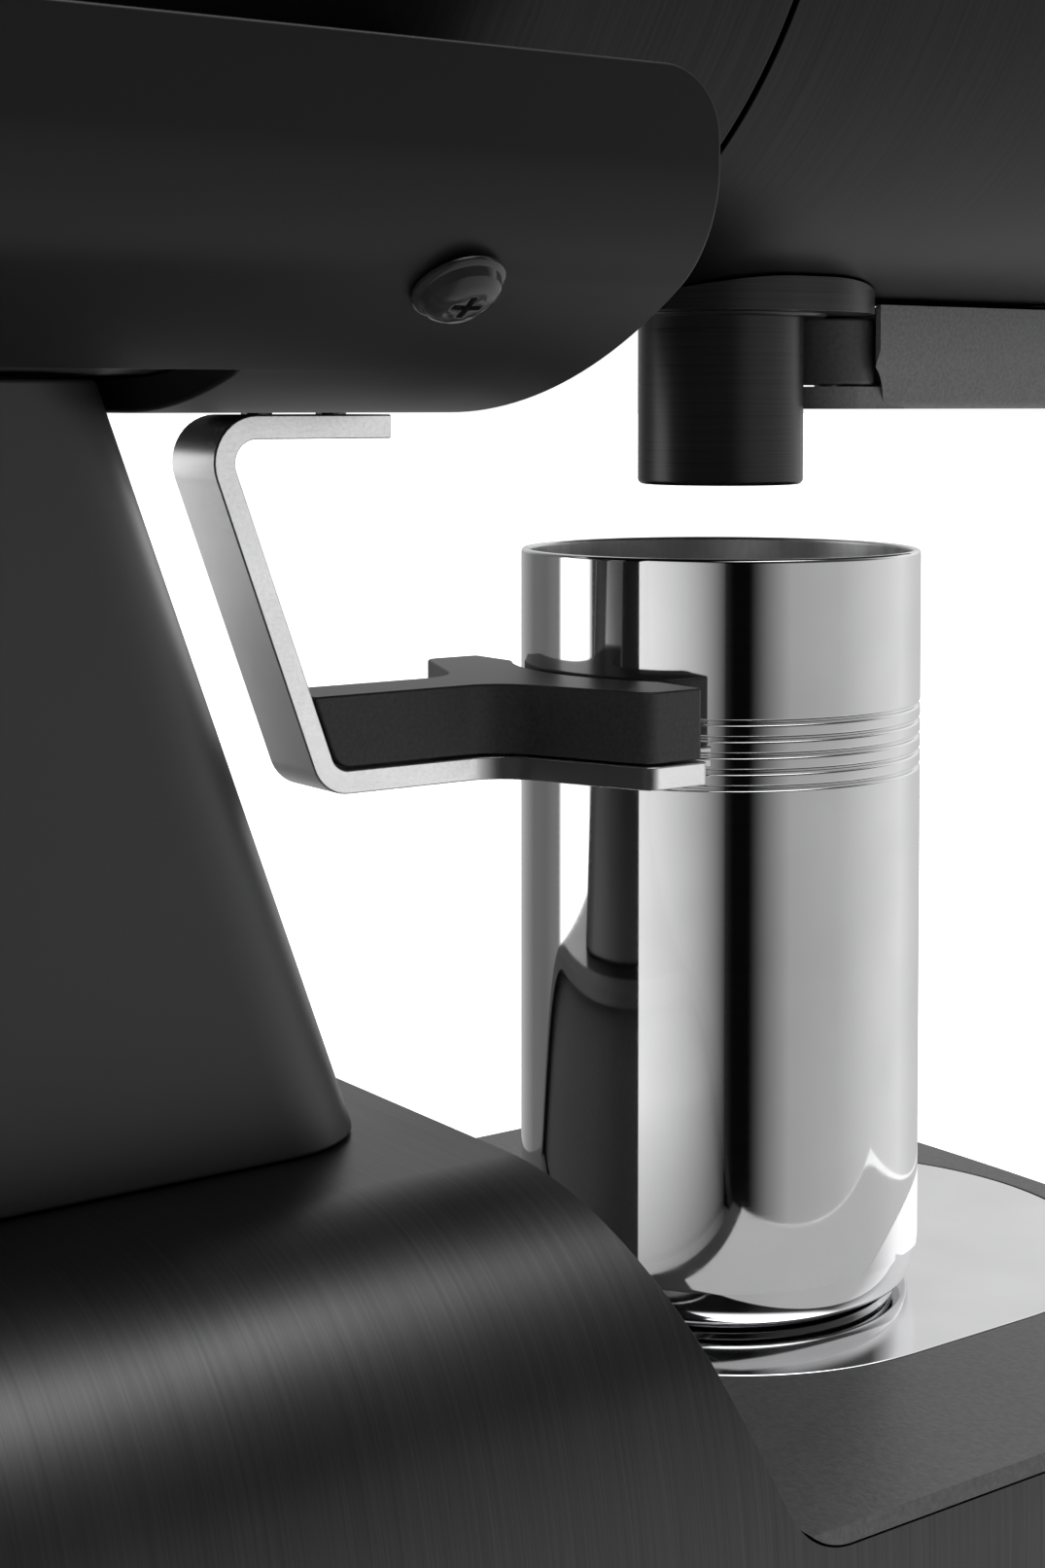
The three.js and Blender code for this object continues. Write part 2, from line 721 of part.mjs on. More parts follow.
// The flange hugs the drum's underside, and its tube leads the grounds down from the burr chamber.
function chuteFlange() {
  const half = 20;
  const shape = new THREE.Shape();
  shape.absarc(0, 3, half, 0, Math.PI);
  shape.absarc(0, -3, half, Math.PI, 2 * Math.PI);
  shape.closePath();
  const saddle = cut(
    raised(shape, FLANGE_BOTTOM, DRUM_AXIS - DRUM_RADIUS + 8, 16),
    rodAlongY(DRUM_RADIUS + GAP, -40, 40, ROUND).translate(0, 0, DRUM_AXIS),
  );
  const chamberBottom = DRUM_AXIS - CHAMBER_RADIUS;
  const tube = rodUpright(SPOUT_RADIUS, FLANGE_BOTTOM, chamberBottom - 1);
  return cut(join(saddle, tube), rodUpright(SPOUT_BORE, FLANGE_BOTTOM - 1, chamberBottom));
}

// ---- release lever ----
const TONGUE_TOP = LEVER_BOTTOM + 3.3;
const LEVER_FRONT = -74;

function releaseLever() {
  const top = DRUM_AXIS - DRUM_RADIUS - GAP;
  const shoulder = 160;
  const section = new THREE.Shape([
    new THREE.Vector2(-5.5, LEVER_BOTTOM),
    new THREE.Vector2(5.5, LEVER_BOTTOM),
    new THREE.Vector2(LEVER_HALF, shoulder),
    new THREE.Vector2(LEVER_HALF, top),
    new THREE.Vector2(-LEVER_HALF, top),
    new THREE.Vector2(-LEVER_HALF, shoulder),
  ]);
  const bar = cut(
    carriedAlongY(section, LEVER_FRONT, -23.3),
    rodUpright(8.3, LEVER_BOTTOM - 1, top + 1).translate(0, LEVER_PIN_Y, 0),
  );
  const round = new THREE.Shape();
  round.absarc(0, LEVER_PIN_Y, 7, 0, Math.PI);
  round.lineTo(-5, -32);
  round.lineTo(5, -32);
  round.closePath();
  const tongue = raised(round, LEVER_BOTTOM, TONGUE_TOP, 12);
  const hole = rodUpright(2.3, LEVER_BOTTOM - 1, TONGUE_TOP + 1, 16);
  return cut(join(bar, tongue), hole.translate(0, LEVER_PIN_Y, 0));
}

function addSpoutAndLever() {
  add("cup", cup(), polished());
  add("spout", spout(), satinBlack());
  add("chute_flange", chuteFlange(), satinBlack());
  add("release_lever", releaseLever(), greyPlastic());
  const post = TONGUE_TOP + GAP;
  const postTop = FLANGE_BOTTOM - GAP;
  const lever = cut(
    rodUpright(7, post, postTop),
    rodUpright(2.3, post - 1, postTop - 2, 16),
  );
  add("lever_post", lever, blackPlastic()).position.y = LEVER_PIN_Y;
  const pin = rodUpright(2, LEVER_BOTTOM + 0.4, postTop - 2.5, 16);
  add("lever_pin", pin, steel()).position.y = LEVER_PIN_Y;
}

// ---- drum ----
const CHAMBER_RADIUS = 44;
const CHAMBER_BORE = 38;
const HOUSING_BORE = DRUM_RADIUS - DRUM_WALL;
const HEAD_BORE = DRUM_RADIUS - 6;
const BEARING_RADIUS = 14;
const FRONT_BEARING = [26.5, 33.5];
const REAR_BEARING = [170.5, 177.5];
const drum = new THREE.Group();
drum.position.z = DRUM_AXIS;
grinder.add(drum);

// A short bored plate across the drum that holds a bearing.
function bearingPlate(shellBore, [from, to]) {
  return tubeAlongY(shellBore - GAP, BEARING_RADIUS + GAP, from, to);
}

function bearing([from, to]) {
  return tubeAlongY(BEARING_RADIUS, SHAFT_RADIUS + GAP, from, to, 24);
}

function rearCap() {
  const front = HOUSING_REAR + GAP;
  const inner = HOUSING_BORE;
  const shell = turnedAlongY(
    [
      [inner, front], [DRUM_RADIUS, front], [DRUM_RADIUS, REAR_END - 5], [DRUM_RADIUS - 1.5, REAR_END - 1.5],
      [DRUM_RADIUS - 5, REAR_END], [0, REAR_END], [0, REAR_END - 4], [inner, REAR_END - 4],
    ],
  );
  const slots = Array.from({ length: 10 }, (_, i) =>
    box([-2, REAR_END - 6, 22], [2, REAR_END + 1, 46]).rotateY((i * Math.PI) / 5),
  );
  return cut(shell, ...slots);
}

function grindingHead() {
  const shell = tubeAlongY(DRUM_RADIUS, HEAD_BORE, HEAD_FRONT, SEAM - GAP);
  const chute = rodUpright(SPOUT_RADIUS + 0.4, -DRUM_RADIUS - 5, -CHAMBER_RADIUS);
  const throat = rodUpright(THROAT_RADIUS + 0.4, 40, DRUM_RADIUS + 5).translate(0, HOPPER_Y, 0);
  return cut(shell, chute, throat);
}

// ---- burrs ----
const CHAMBER_FRONT = -14;
const CHAMBER_REAR = 24;
const BARREL_RADIUS = 17;
const BARREL_BORE = 13;
const THROAT_RADIUS = 13;
const THROAT_BORE = 11;
const BARREL = [RING_FRONT, -17];
const AUGER_FRONT = -45;

function burrChamber() {
  const wall = 4;
  const shell = turnedAlongY(
    [
      [CHAMBER_BORE, CHAMBER_FRONT], [CHAMBER_RADIUS, CHAMBER_FRONT], [CHAMBER_RADIUS, CHAMBER_REAR],
      [8, CHAMBER_REAR], [8, CHAMBER_REAR - wall], [CHAMBER_BORE, CHAMBER_REAR - wall],
    ],
  );
  return cut(shell, rodUpright(SPOUT_BORE, -CHAMBER_RADIUS - 1, -CHAMBER_BORE + 3));
}

// A flat burr: a ring whose face at y = 0 is cut by slanting grooves, its body towards +Y.
function burr() {
  const grooves = 8;
  const aside = 9; // how far each groove passes from the axis
  const half = 1.2;
  const deep = 1.6;
  const ring = tubeAlongY(BURR_RADIUS, BURR_BORE, 0, BURR_THICK);
  const tools = Array.from({ length: grooves }, (_, i) =>
    box([aside - half, -1, BURR_BORE - 5], [aside + half, deep, BURR_RADIUS + 4])
      .rotateY((i * 2 * Math.PI) / grooves),
  );
  return cut(ring, ...tools);
}

function burrCarrier() {
  const face = BURR_FACE + BURR_THICK + GAP;
  const hub = 12;
  return turnedAlongY(
    [
      [SHAFT_RADIUS + GAP, face], [34, face], [34, face + 7], [hub, face + 7], [hub, face + 11],
      [SHAFT_RADIUS + GAP, face + 11],
    ],
    32,
  );
}

// The auger feeds beans along the barrel into the burrs: a core with one helical blade.
function feedAuger() {
  const rear = -2;
  const turns = 2;
  const core = rodAlongY(4.5, AUGER_FRONT, rear, 12);
  class Helix extends THREE.Curve {
    getPoint(t, target = new THREE.Vector3()) {
      const angle = 2 * Math.PI * turns * t;
      const y = AUGER_FRONT + 3 + (rear - AUGER_FRONT - 6) * t;
      return target.set(7.2 * Math.cos(angle), y, 7.2 * Math.sin(angle));
    }
  }
  const blade = new THREE.Shape();
  blade.absarc(0, 0, 3.6, 0, 2 * Math.PI);
  const sweep = new THREE.ExtrudeGeometry(blade, {
    steps: 28, curveSegments: 2, extrudePath: new Helix(), bevelEnabled: false,
  });
  return join(core, sweep);
}

// The holder carries the fixed burr. Its sleeve reaches forward into the adjusting ring's collar.
const SLEEVE_RADIUS = 36;
const SLEEVE_BORE = 32.4;

function burrHolder() {
  const back = BURR_FACE - BURR_GAP - BURR_THICK - GAP;
  const web = back - 5;
  const holder = turnedAlongY(
    [
      [BARREL_BORE, back], [BARREL_BORE, web], [SLEEVE_BORE, web], [SLEEVE_BORE, -52],
      [SLEEVE_RADIUS, -52], [SLEEVE_RADIUS, web], [CHAMBER_BORE - GAP, web], [CHAMBER_BORE - GAP, back],
    ],
  );
  const slot = [0, -2.5].map((shift) =>
    rodUpright(THROAT_RADIUS + 0.6, 20, 50).translate(0, HOPPER_Y - shift, 0),
  );
  return cut(holder, ...slot);
}

// The throat drops beans from the hopper into the auger's barrel, and the barrel carries the front cap.
function feedThroat() {
  const [front, rear] = BARREL;
  const top = HOPPER_BOTTOM - DRUM_AXIS - 10;
  const down = (radius, from, to) => rodUpright(radius, from, to).translate(0, HOPPER_Y, 0);
  const pipes = join(rodAlongY(BARREL_RADIUS, front, rear), down(THROAT_RADIUS, 0, top));
  return cut(pipes, rodAlongY(BARREL_BORE, AUGER_FRONT - 3, rear + 1), down(THROAT_BORE, 0, top + 1));
}

function adjustRing() {
  const rim = HEAD_BORE;
  const rear = HEAD_FRONT - GAP;
  const collar = SLEEVE_BORE - 0.4;
  const hub = BARREL_RADIUS + 3;
  const ring = turnedAlongY(
    [
      [hub, -64], [rim, -64], [rim, RING_FRONT], [DRUM_RADIUS - 0.8, RING_FRONT],
      [DRUM_RADIUS, RING_FRONT + 0.8], [DRUM_RADIUS, rear], [collar, rear], [collar, -45],
      [collar - 4, -45], [collar - 4, rear], [hub, rear],
    ],
  );
  const flutes = 16;
  const tools = Array.from({ length: flutes }, (_, i) =>
    rodAlongY(1.8, RING_FRONT + 3, rear - 3, 6)
      .translate(0, 0, DRUM_RADIUS + 0.8)
      .rotateY((i * 2 * Math.PI) / flutes),
  );
  return cut(ring, ...tools);
}

// ---- front cap and start button ----
const BUTTON_RADIUS = 11;
const BUTTON_FACE = CAP_FRONT - 2;
const CAP_REAR = RING_FRONT - GAP;
const CAP_FLOOR = CAP_REAR - 2; // floor of the button's well

function frontCap() {
  const edge = 1.5;
  return turnedAlongY(
    [
      [0, CAP_REAR], [DRUM_RADIUS, CAP_REAR], [DRUM_RADIUS, CAP_FRONT + edge], [DRUM_RADIUS - edge, CAP_FRONT],
      [BUTTON_RADIUS + 0.4, CAP_FRONT], [BUTTON_RADIUS + 0.4, CAP_FLOOR], [0, CAP_FLOOR],
    ],
  );
}

// The button is hollow behind, and leaves its spring the room to be pressed.
function startButton() {
  const rear = CAP_FLOOR - 3;
  const hollow = rear - 4;
  const inner = BUTTON_RADIUS - 2;
  return turnedAlongY(
    [
      [0, BUTTON_FACE + 0.6], [BUTTON_RADIUS - 1.4, BUTTON_FACE], [BUTTON_RADIUS, BUTTON_FACE + 0.8],
      [BUTTON_RADIUS, rear], [inner, rear], [inner, hollow], [0, hollow],
    ],
    24,
  );
}

// A return spring of round wire on the cap's floor, behind the button.
function buttonSpring() {
  const wireRadius = 0.4;
  const coilRadius = 6;
  const turns = 2.5;
  const height = 4;
  const from = CAP_FLOOR - GAP - wireRadius;
  class Coil extends THREE.Curve {
    getPoint(t, target = new THREE.Vector3()) {
      const angle = 2 * Math.PI * turns * t;
      return target.set(coilRadius * Math.cos(angle), from - height * t, coilRadius * Math.sin(angle));
    }
  }
  const wire = new THREE.Shape();
  wire.absarc(0, 0, wireRadius, 0, 2 * Math.PI);
  return new THREE.ExtrudeGeometry(wire, {
    steps: 30, curveSegments: 2, extrudePath: new Coil(), bevelEnabled: false,
  });
}

function addDrum() {
  const housing = tubeAlongY(DRUM_RADIUS, HOUSING_BORE, SEAM + GAP, HOUSING_REAR);
  add("motor_housing", housing, brushedBlack(), drum);
  add("rear_cap", rearCap(), blackPlastic(), drum);
  add("grinding_head", grindingHead(), brushedBlack(), drum);
  add("front_bearing_plate", bearingPlate(HEAD_BORE, FRONT_BEARING), steel(), drum);
  add("rear_bearing_plate", bearingPlate(HOUSING_BORE, REAR_BEARING), steel(), drum);
  add("front_bearing", bearing(FRONT_BEARING), steel(), drum);
  add("rear_bearing", bearing(REAR_BEARING), steel(), drum);
  add("motor_stator", tubeAlongY(HOUSING_BORE - GAP, 31, 72, 140), copper(), drum);
  add("motor_rotor", tubeAlongY(30, SHAFT_RADIUS + GAP, 68, 144, 24), steel(), drum);
  add("motor_shaft", rodAlongY(SHAFT_RADIUS, BURR_FACE - 0.5, 184, 24), steel(), drum);
  add("burr_chamber", burrChamber(), material(0x8d8d8f, 0.4, 0.9), drum);
  add("burr_carrier", burrCarrier(), steel(), drum);
  add("rotating_burr", burr(), steel(), drum);
  const fixed = burr().rotateX(Math.PI).translate(0, BURR_FACE - BURR_GAP, 0);
  add("fixed_burr", fixed, steel(), drum);
  add("feed_auger", feedAuger(), steel(), drum);
  add("burr_holder", burrHolder(), steel(), drum);
  add("feed_throat", feedThroat(), blackPlastic(), drum);
  add("adjust_ring", adjustRing(), brushedBlack(), drum);
  add("front_cap", frontCap(), satinBlack(), drum);
  add("start_button", startButton(), steel(), drum);
  add("button_spring", buttonSpring(), steel(), drum);
}

// ---- hopper ----
const GATE_LEVEL = HOPPER_BOTTOM - 8;
const GATE_THICK = 2.4;
const COLLAR_RADIUS = 34;

function hopperCollar() {
  const top = HOPPER_BOTTOM - GAP;
  const body = cut(
    rodUpright(COLLAR_RADIUS, DRUM_AXIS + 40, top, ROUND).translate(0, HOPPER_Y, 0),
    rodAlongY(DRUM_RADIUS + GAP, -90, 40, ROUND).translate(0, 0, DRUM_AXIS),
    rodAlongY(DRUM_RADIUS + 3 * GAP, -90, HEAD_FRONT, ROUND).translate(0, 0, DRUM_AXIS),
    rodUpright(THROAT_RADIUS + GAP, DRUM_AXIS, top + 1).translate(0, HOPPER_Y, 0),
  );
  const slot = box(
    [-20, HOPPER_Y - 16.4, GATE_LEVEL - GAP],
    [COLLAR_RADIUS + 1, HOPPER_Y + 16.4, GATE_LEVEL + GATE_THICK + GAP],
  );
  return cut(body, slot);
}

// The gate is a flat slide that shuts the throat, with a grip outside the collar.
function beanGate() {
  const plate = roundedRectangle(-18, HOPPER_Y - 16, COLLAR_RADIUS + 8, HOPPER_Y + 16, 4);
  const grip = roundedRectangle(COLLAR_RADIUS + 4, HOPPER_Y - 12, COLLAR_RADIUS + 9, HOPPER_Y + 12, 2);
  return join(
    raised(plate, GATE_LEVEL, GATE_LEVEL + GATE_THICK, 4),
    raised(grip, GATE_LEVEL - 3, GATE_LEVEL + GATE_THICK + 3, 4),
  );
}

function hopper() {
  const wall = 2.5;
  const bottom = HOPPER_BOTTOM;
  return turnedUpright(
    [
      [THROAT_RADIUS, bottom], [COLLAR_RADIUS - 2, bottom], [COLLAR_RADIUS - 2, bottom + 4], [20, bottom + 6],
      [HOPPER_RADIUS, bottom + 30], [HOPPER_RADIUS, HOPPER_TOP], [HOPPER_RADIUS - wall, HOPPER_TOP],
      [HOPPER_RADIUS - wall, bottom + 31], [THROAT_RADIUS, bottom + 8],
    ],
  );
}

function hopperLid() {
  const rest = HOPPER_TOP + GAP;
  const plug = HOPPER_RADIUS - 3.2;
  return turnedUpright(
    [
      [0, rest], [plug - 3, rest], [plug - 3, rest - 7], [plug, rest - 7], [plug, rest],
      [HOPPER_RADIUS + 1.5, rest], [HOPPER_RADIUS + 1.5, rest + 4], [HOPPER_RADIUS, rest + 5.5],
      [10, rest + 5.5], [8, rest + 9], [10, rest + 13], [8.5, rest + 15], [0, rest + 15],
    ],
  );
}

function addHopper() {
  add("hopper_collar", hopperCollar(), satinBlack());
  add("bean_gate", beanGate(), steel());
  add("hopper", hopper(), smoked()).position.y = HOPPER_Y;
  add("hopper_lid", hopperLid(), blackPlastic()).position.y = HOPPER_Y;
}

addBase();
addColumn();
addCradle();
addBracket();
addSpoutAndLever();
addDrum();
addHopper();

// The reference point is the middle of the whole grinder's footprint, on the floor.
grinder.position.y = -(BUTTON_FACE + REAR_END) / 2;

export default grinder;
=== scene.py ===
"""The looks of a burr coffee grinder: its finer pieces, materials, light and camera.

Every piece stands where its CAD node does, in metres, +Z up and the front towards -Y. A turned piece is
either upright or lies along the drum's axis, which runs along Y.
"""

import json
import math

import bmesh
import bpy
from mathutils import Matrix, Vector


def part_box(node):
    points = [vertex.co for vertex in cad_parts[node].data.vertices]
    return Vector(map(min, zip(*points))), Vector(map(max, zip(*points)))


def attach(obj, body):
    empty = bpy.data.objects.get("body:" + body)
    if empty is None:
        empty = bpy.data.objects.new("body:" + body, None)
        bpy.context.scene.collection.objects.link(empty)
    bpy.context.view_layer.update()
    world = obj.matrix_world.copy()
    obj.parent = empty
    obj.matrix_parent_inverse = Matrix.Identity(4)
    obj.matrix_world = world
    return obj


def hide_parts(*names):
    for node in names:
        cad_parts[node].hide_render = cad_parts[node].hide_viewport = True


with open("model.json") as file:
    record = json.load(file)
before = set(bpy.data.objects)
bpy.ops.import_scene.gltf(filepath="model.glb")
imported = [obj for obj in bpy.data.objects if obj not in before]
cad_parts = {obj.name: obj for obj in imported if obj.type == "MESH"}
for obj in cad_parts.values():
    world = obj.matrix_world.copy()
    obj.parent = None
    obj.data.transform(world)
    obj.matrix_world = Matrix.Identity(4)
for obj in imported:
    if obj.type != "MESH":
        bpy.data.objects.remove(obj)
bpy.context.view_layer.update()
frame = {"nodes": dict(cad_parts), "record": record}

# ---- driving sizes, in metres ----
MM = 0.001
GAP = 0.3 * MM  # between pieces that lie beside each other
SHEET = 4 * MM  # bent sheet of the base and the cradle
# Each sheet's section: half width of its flat, radius of its first bend, and how far that bend turns.
ARCH = {"flat": 40.75 * MM, "bend": 28.9 * MM, "turn": 1.25}
BELLY = {"flat": 21.3 * MM, "bend": 79.5 * MM, "turn": 0.59}
LEAN = 0.3706  # slope of the column and of the bracket's slanted leg
CUT_LEAN = 0.45  # how far the base's front cut leans back for each metre of height
UPRIGHT_STEPS = 192  # sides of an upright turned piece
DRUM_STEPS = 256  # sides of the drum's pieces and of the cup

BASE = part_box("base_shell")
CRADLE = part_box("cradle")
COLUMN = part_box("column")
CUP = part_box("cup")
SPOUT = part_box("spout")
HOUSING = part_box("motor_housing")
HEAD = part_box("grinding_head")
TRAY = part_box("drip_tray")
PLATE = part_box("tray_plate")
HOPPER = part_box("hopper")

HALF_WIDTH = BASE[1].x
AXIS_Y = (CUP[0].y + CUP[1].y) / 2  # the cup and the spout stand on this vertical axis
DRUM_RADIUS = HOUSING[1].x
DRUM_AXIS = (HOUSING[0].z + HOUSING[1].z) / 2
HOPPER_Y = (HOPPER[0].y + HOPPER[1].y) / 2
HOPPER_AXIS = (0, HOPPER_Y, 0)
LOW_WALL_TOP = TRAY[1].z - 2.6 * MM  # top of the base's low walls beside the tray
ARCH_FRONT = AXIS_Y + 66.2 * MM  # front edge of the base's arch at its top
HOUSING_WALL = 4 * MM
HEAD_WALL = 6 * MM
COLUMN_WALL = 4 * MM
COLUMN_CORNER = 14 * MM
CRADLE_CORNER = 7.5 * MM  # rounding of the cradle's upper corners
OPENING_HALF = 47.5 * MM  # the opening in the cradle's belly
OPENING_FRONT = AXIS_Y + 106 * MM
OPENING_REAR = AXIS_Y + 195 * MM

FORK_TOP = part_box("fork_pad")[0].z - GAP
STRIP = 3.1 * MM  # thickness of the bracket's strip
FORK_TIP = AXIS_Y + 24.5 * MM
FORK_SHOULDER = AXIS_Y + 34 * MM  # where the fork starts to narrow
FORK_NECK = AXIS_Y + 43.2 * MM
FORK_HALF = 26.8 * MM
STEM_HALF = 5.7 * MM
MOUTH_RADIUS = 29.8 * MM  # the fork's mouth, round the cup
LEG_FRONT = AXIS_Y + 68.65 * MM  # front of the slanted leg at the fork's top


# ---- meshes ----
def piece(name, mesh, origin=(0, 0, 0)):
    """An object of that mesh, with its own origin at that point of the scene."""
    mesh.name = name
    mesh.transform(Matrix.Translation(-Vector(origin)))
    obj = bpy.data.objects.new(name, mesh)
    obj.location = origin
    bpy.context.scene.collection.objects.link(obj)
    bpy.context.view_layer.update()
    return obj


def mesh_of(bm):
    """Turns an edited mesh into mesh data, with its faces pointing out."""
    bmesh.ops.recalc_face_normals(bm, faces=bm.faces)
    mesh = bpy.data.meshes.new("mesh")
    bm.to_mesh(mesh)
    bm.free()
    return mesh


def extruded(outline, start, end, place):
    """A closed outline of (a, b) points carried from start to end; place turns (a, b, c) into x, y, z."""
    bm = bmesh.new()
    first = [bm.verts.new(place(a, b, start)) for a, b in outline]
    last = [bm.verts.new(place(a, b, end)) for a, b in outline]
    count = len(outline)
    for i in range(count):
        j = (i + 1) % count
        bm.faces.new((first[i], first[j], last[j], last[i]))
    bm.faces.new(first[::-1])
    bm.faces.new(last)
    return mesh_of(bm)


def upwards(a, b, c):
    return (a, b, c)


def along_y(a, b, c):
    return (a, c, b)


def across(a, b, c):
    return (c, a, b)


def turned(profile, centre, upright=True, steps=UPRIGHT_STEPS):
    """A body turned about an axis through centre, from (radius, height) points. Radius 0 closes it."""
    bm = bmesh.new()
    rings = []
    for radius, height in profile:
        ring = []
        for i in range(1 if radius == 0 else steps):
            angle = 2 * math.pi * i / steps
            u = radius * math.cos(angle)
            v = radius * math.sin(angle)
            if upright:
                ring.append(bm.verts.new((centre[0] + u, centre[1] + v, height)))
            else:
                ring.append(bm.verts.new((centre[0] + u, height, centre[2] + v)))
        rings.append(ring)
    if profile[0][0] > 0:
        rings.append(rings[0])
    for low, high in zip(rings, rings[1:]):
        for i in range(steps):
            j = (i + 1) % steps
            corners = [low[i % len(low)], low[j % len(low)], high[j % len(high)], high[i % len(high)]]
            distinct = list(dict.fromkeys(corners))
            if len(distinct) > 2:
                bm.faces.new(distinct)
    return mesh_of(bm)


def arc(cx, cy, radius, start, end, steps=12):
    """Points of an arc from start to end, angles in radians."""
    return [
        (
            cx + radius * math.cos(start + (end - start) * i / steps),
            cy + radius * math.sin(start + (end - start) * i / steps),
        )
        for i in range(steps + 1)
    ]


def rounded(points, radii, steps=8):
    """A closed outline through the corners, each rounded by its own radius, or sharp where that is 0."""
    out = []
    count = len(points)
    for i, (x, y) in enumerate(points):
        radius = radii[i]
        if radius == 0:
            out.append((x, y))
            continue
        here = Vector((x, y))
        before = (Vector(points[i - 1]) - here).normalized()
        after = (Vector(points[(i + 1) % count]) - here).normalized()
        half = math.acos(before.dot(after)) / 2
        centre = here + (before + after).normalized() * (radius / math.sin(half))
        start = here + before * (radius / math.tan(half)) - centre
        end = here + after * (radius / math.tan(half)) - centre
        sweep = start.angle_signed(end)
        angle = math.atan2(start.y, start.x)
        out += arc(centre.x, centre.y, radius, angle, angle - sweep, steps)
    return out


def curve(a, b, c, steps):
    """Points of a quadratic curve from a to c that leans towards b."""
    out = []
    for i in range(1, steps + 1):
        t = i / steps
        x = (1 - t) ** 2 * a[0] + 2 * t * (1 - t) * b[0] + t * t * c[0]
        y = (1 - t) ** 2 * a[1] + 2 * t * (1 - t) * b[1] + t * t * c[1]
        out.append((x, y))
    return out


def rectangle(half, front, rear):
    return [(-half, front), (half, front), (half, rear), (-half, rear)]


def rod(radius, start, end):
    """The profile of a plain round bar."""
    return [(0, start), (radius, start), (radius, end), (0, end)]


def in_mm(points, height=0.0):
    """Points given in millimetres, with the second number counted from that height."""
    return [(a * MM, height + b * MM) for a, b in points]


def stadium(radius, front, rear, steps):
    """Two half rounds of that radius, with their centres at y = front and y = rear."""
    return arc(0, rear, radius, 0, math.pi, steps) + arc(0, front, radius, math.pi, 2 * math.pi, steps)


def shaped(mesh, tools, operation="DIFFERENCE"):
    """The mesh cut by, joined to or kept inside each tool mesh."""
    body = bpy.data.objects.new("body", mesh)
    helpers = [bpy.data.objects.new("tool", tool) for tool in tools]
    for obj in (body, *helpers):
        bpy.context.scene.collection.objects.link(obj)
    for helper in helpers:
        modifier = body.modifiers.new("shape", "BOOLEAN")
        modifier.object = helper
        modifier.operation = operation
        modifier.solver = "EXACT"
    bpy.context.view_layer.update()
    graph = bpy.context.evaluated_depsgraph_get()
    result = bpy.data.meshes.new_from_object(body.evaluated_get(graph))
    for obj in (body, *helpers):
        bpy.data.objects.remove(obj)
    return result


def soften(obj, width, segments=3, angle=30):
    """Smooth shading with each sharp edge rounded to that width."""
    obj.data.polygons.foreach_set("use_smooth", [True] * len(obj.data.polygons))
    bevel = obj.modifiers.new("edges", "BEVEL")
    bevel.width = width
    bevel.segments = segments
    bevel.limit_method = "ANGLE"
    bevel.angle_limit = math.radians(angle)
    bevel.use_clamp_overlap = True
    weighted = obj.modifiers.new("normals", "WEIGHTED_NORMAL")
    weighted.keep_sharp = True


def dress(obj, slot, body, *nodes, material=None):
    """Gives a piece its finish, the body it moves with, and the CAD nodes that it stands for."""
    obj.data.materials.clear()
    obj.data.materials.append(material or FINISHES[slot])
    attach(obj, body)
    if nodes:
        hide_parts(*nodes)


def keep(node, material):
    """Shows a CAD node as it is, with rounded edges and its own material."""
    obj = frame["nodes"][node]
    obj.data.materials.clear()
    obj.data.materials.append(material)
    soften(obj, 0.3 * MM, 2)


# ---- materials ----
class Nodes:
    """A node tree, with short calls that add nodes and join them."""

    def __init__(self, tree):
        self.tree = tree

    def node(self, kind, **settings):
        made = self.tree.nodes.new(kind)
        for name, value in settings.items():
            setattr(made, name, value)
        return made

    def join(self, source, target):
        self.tree.links.new(source, target)

    def spread(self, value, low, high, start=0.3, end=0.7, **settings):
        """Maps a value between start and end onto the range from low to high."""
        ranged = self.node("ShaderNodeMapRange", **settings)
        ranged.inputs["From Min"].default_value = start
        ranged.inputs["From Max"].default_value = end
        ranged.inputs["To Min"].default_value = low
        ranged.inputs["To Max"].default_value = high
        self.join(value, ranged.inputs["Value"])
        return ranged.outputs["Result"]

    def times(self, a, b):
        product = self.node("ShaderNodeMath", operation="MULTIPLY")
        self.join(a, product.inputs[0])
        self.join(b, product.inputs[1])
        return product.outputs[0]


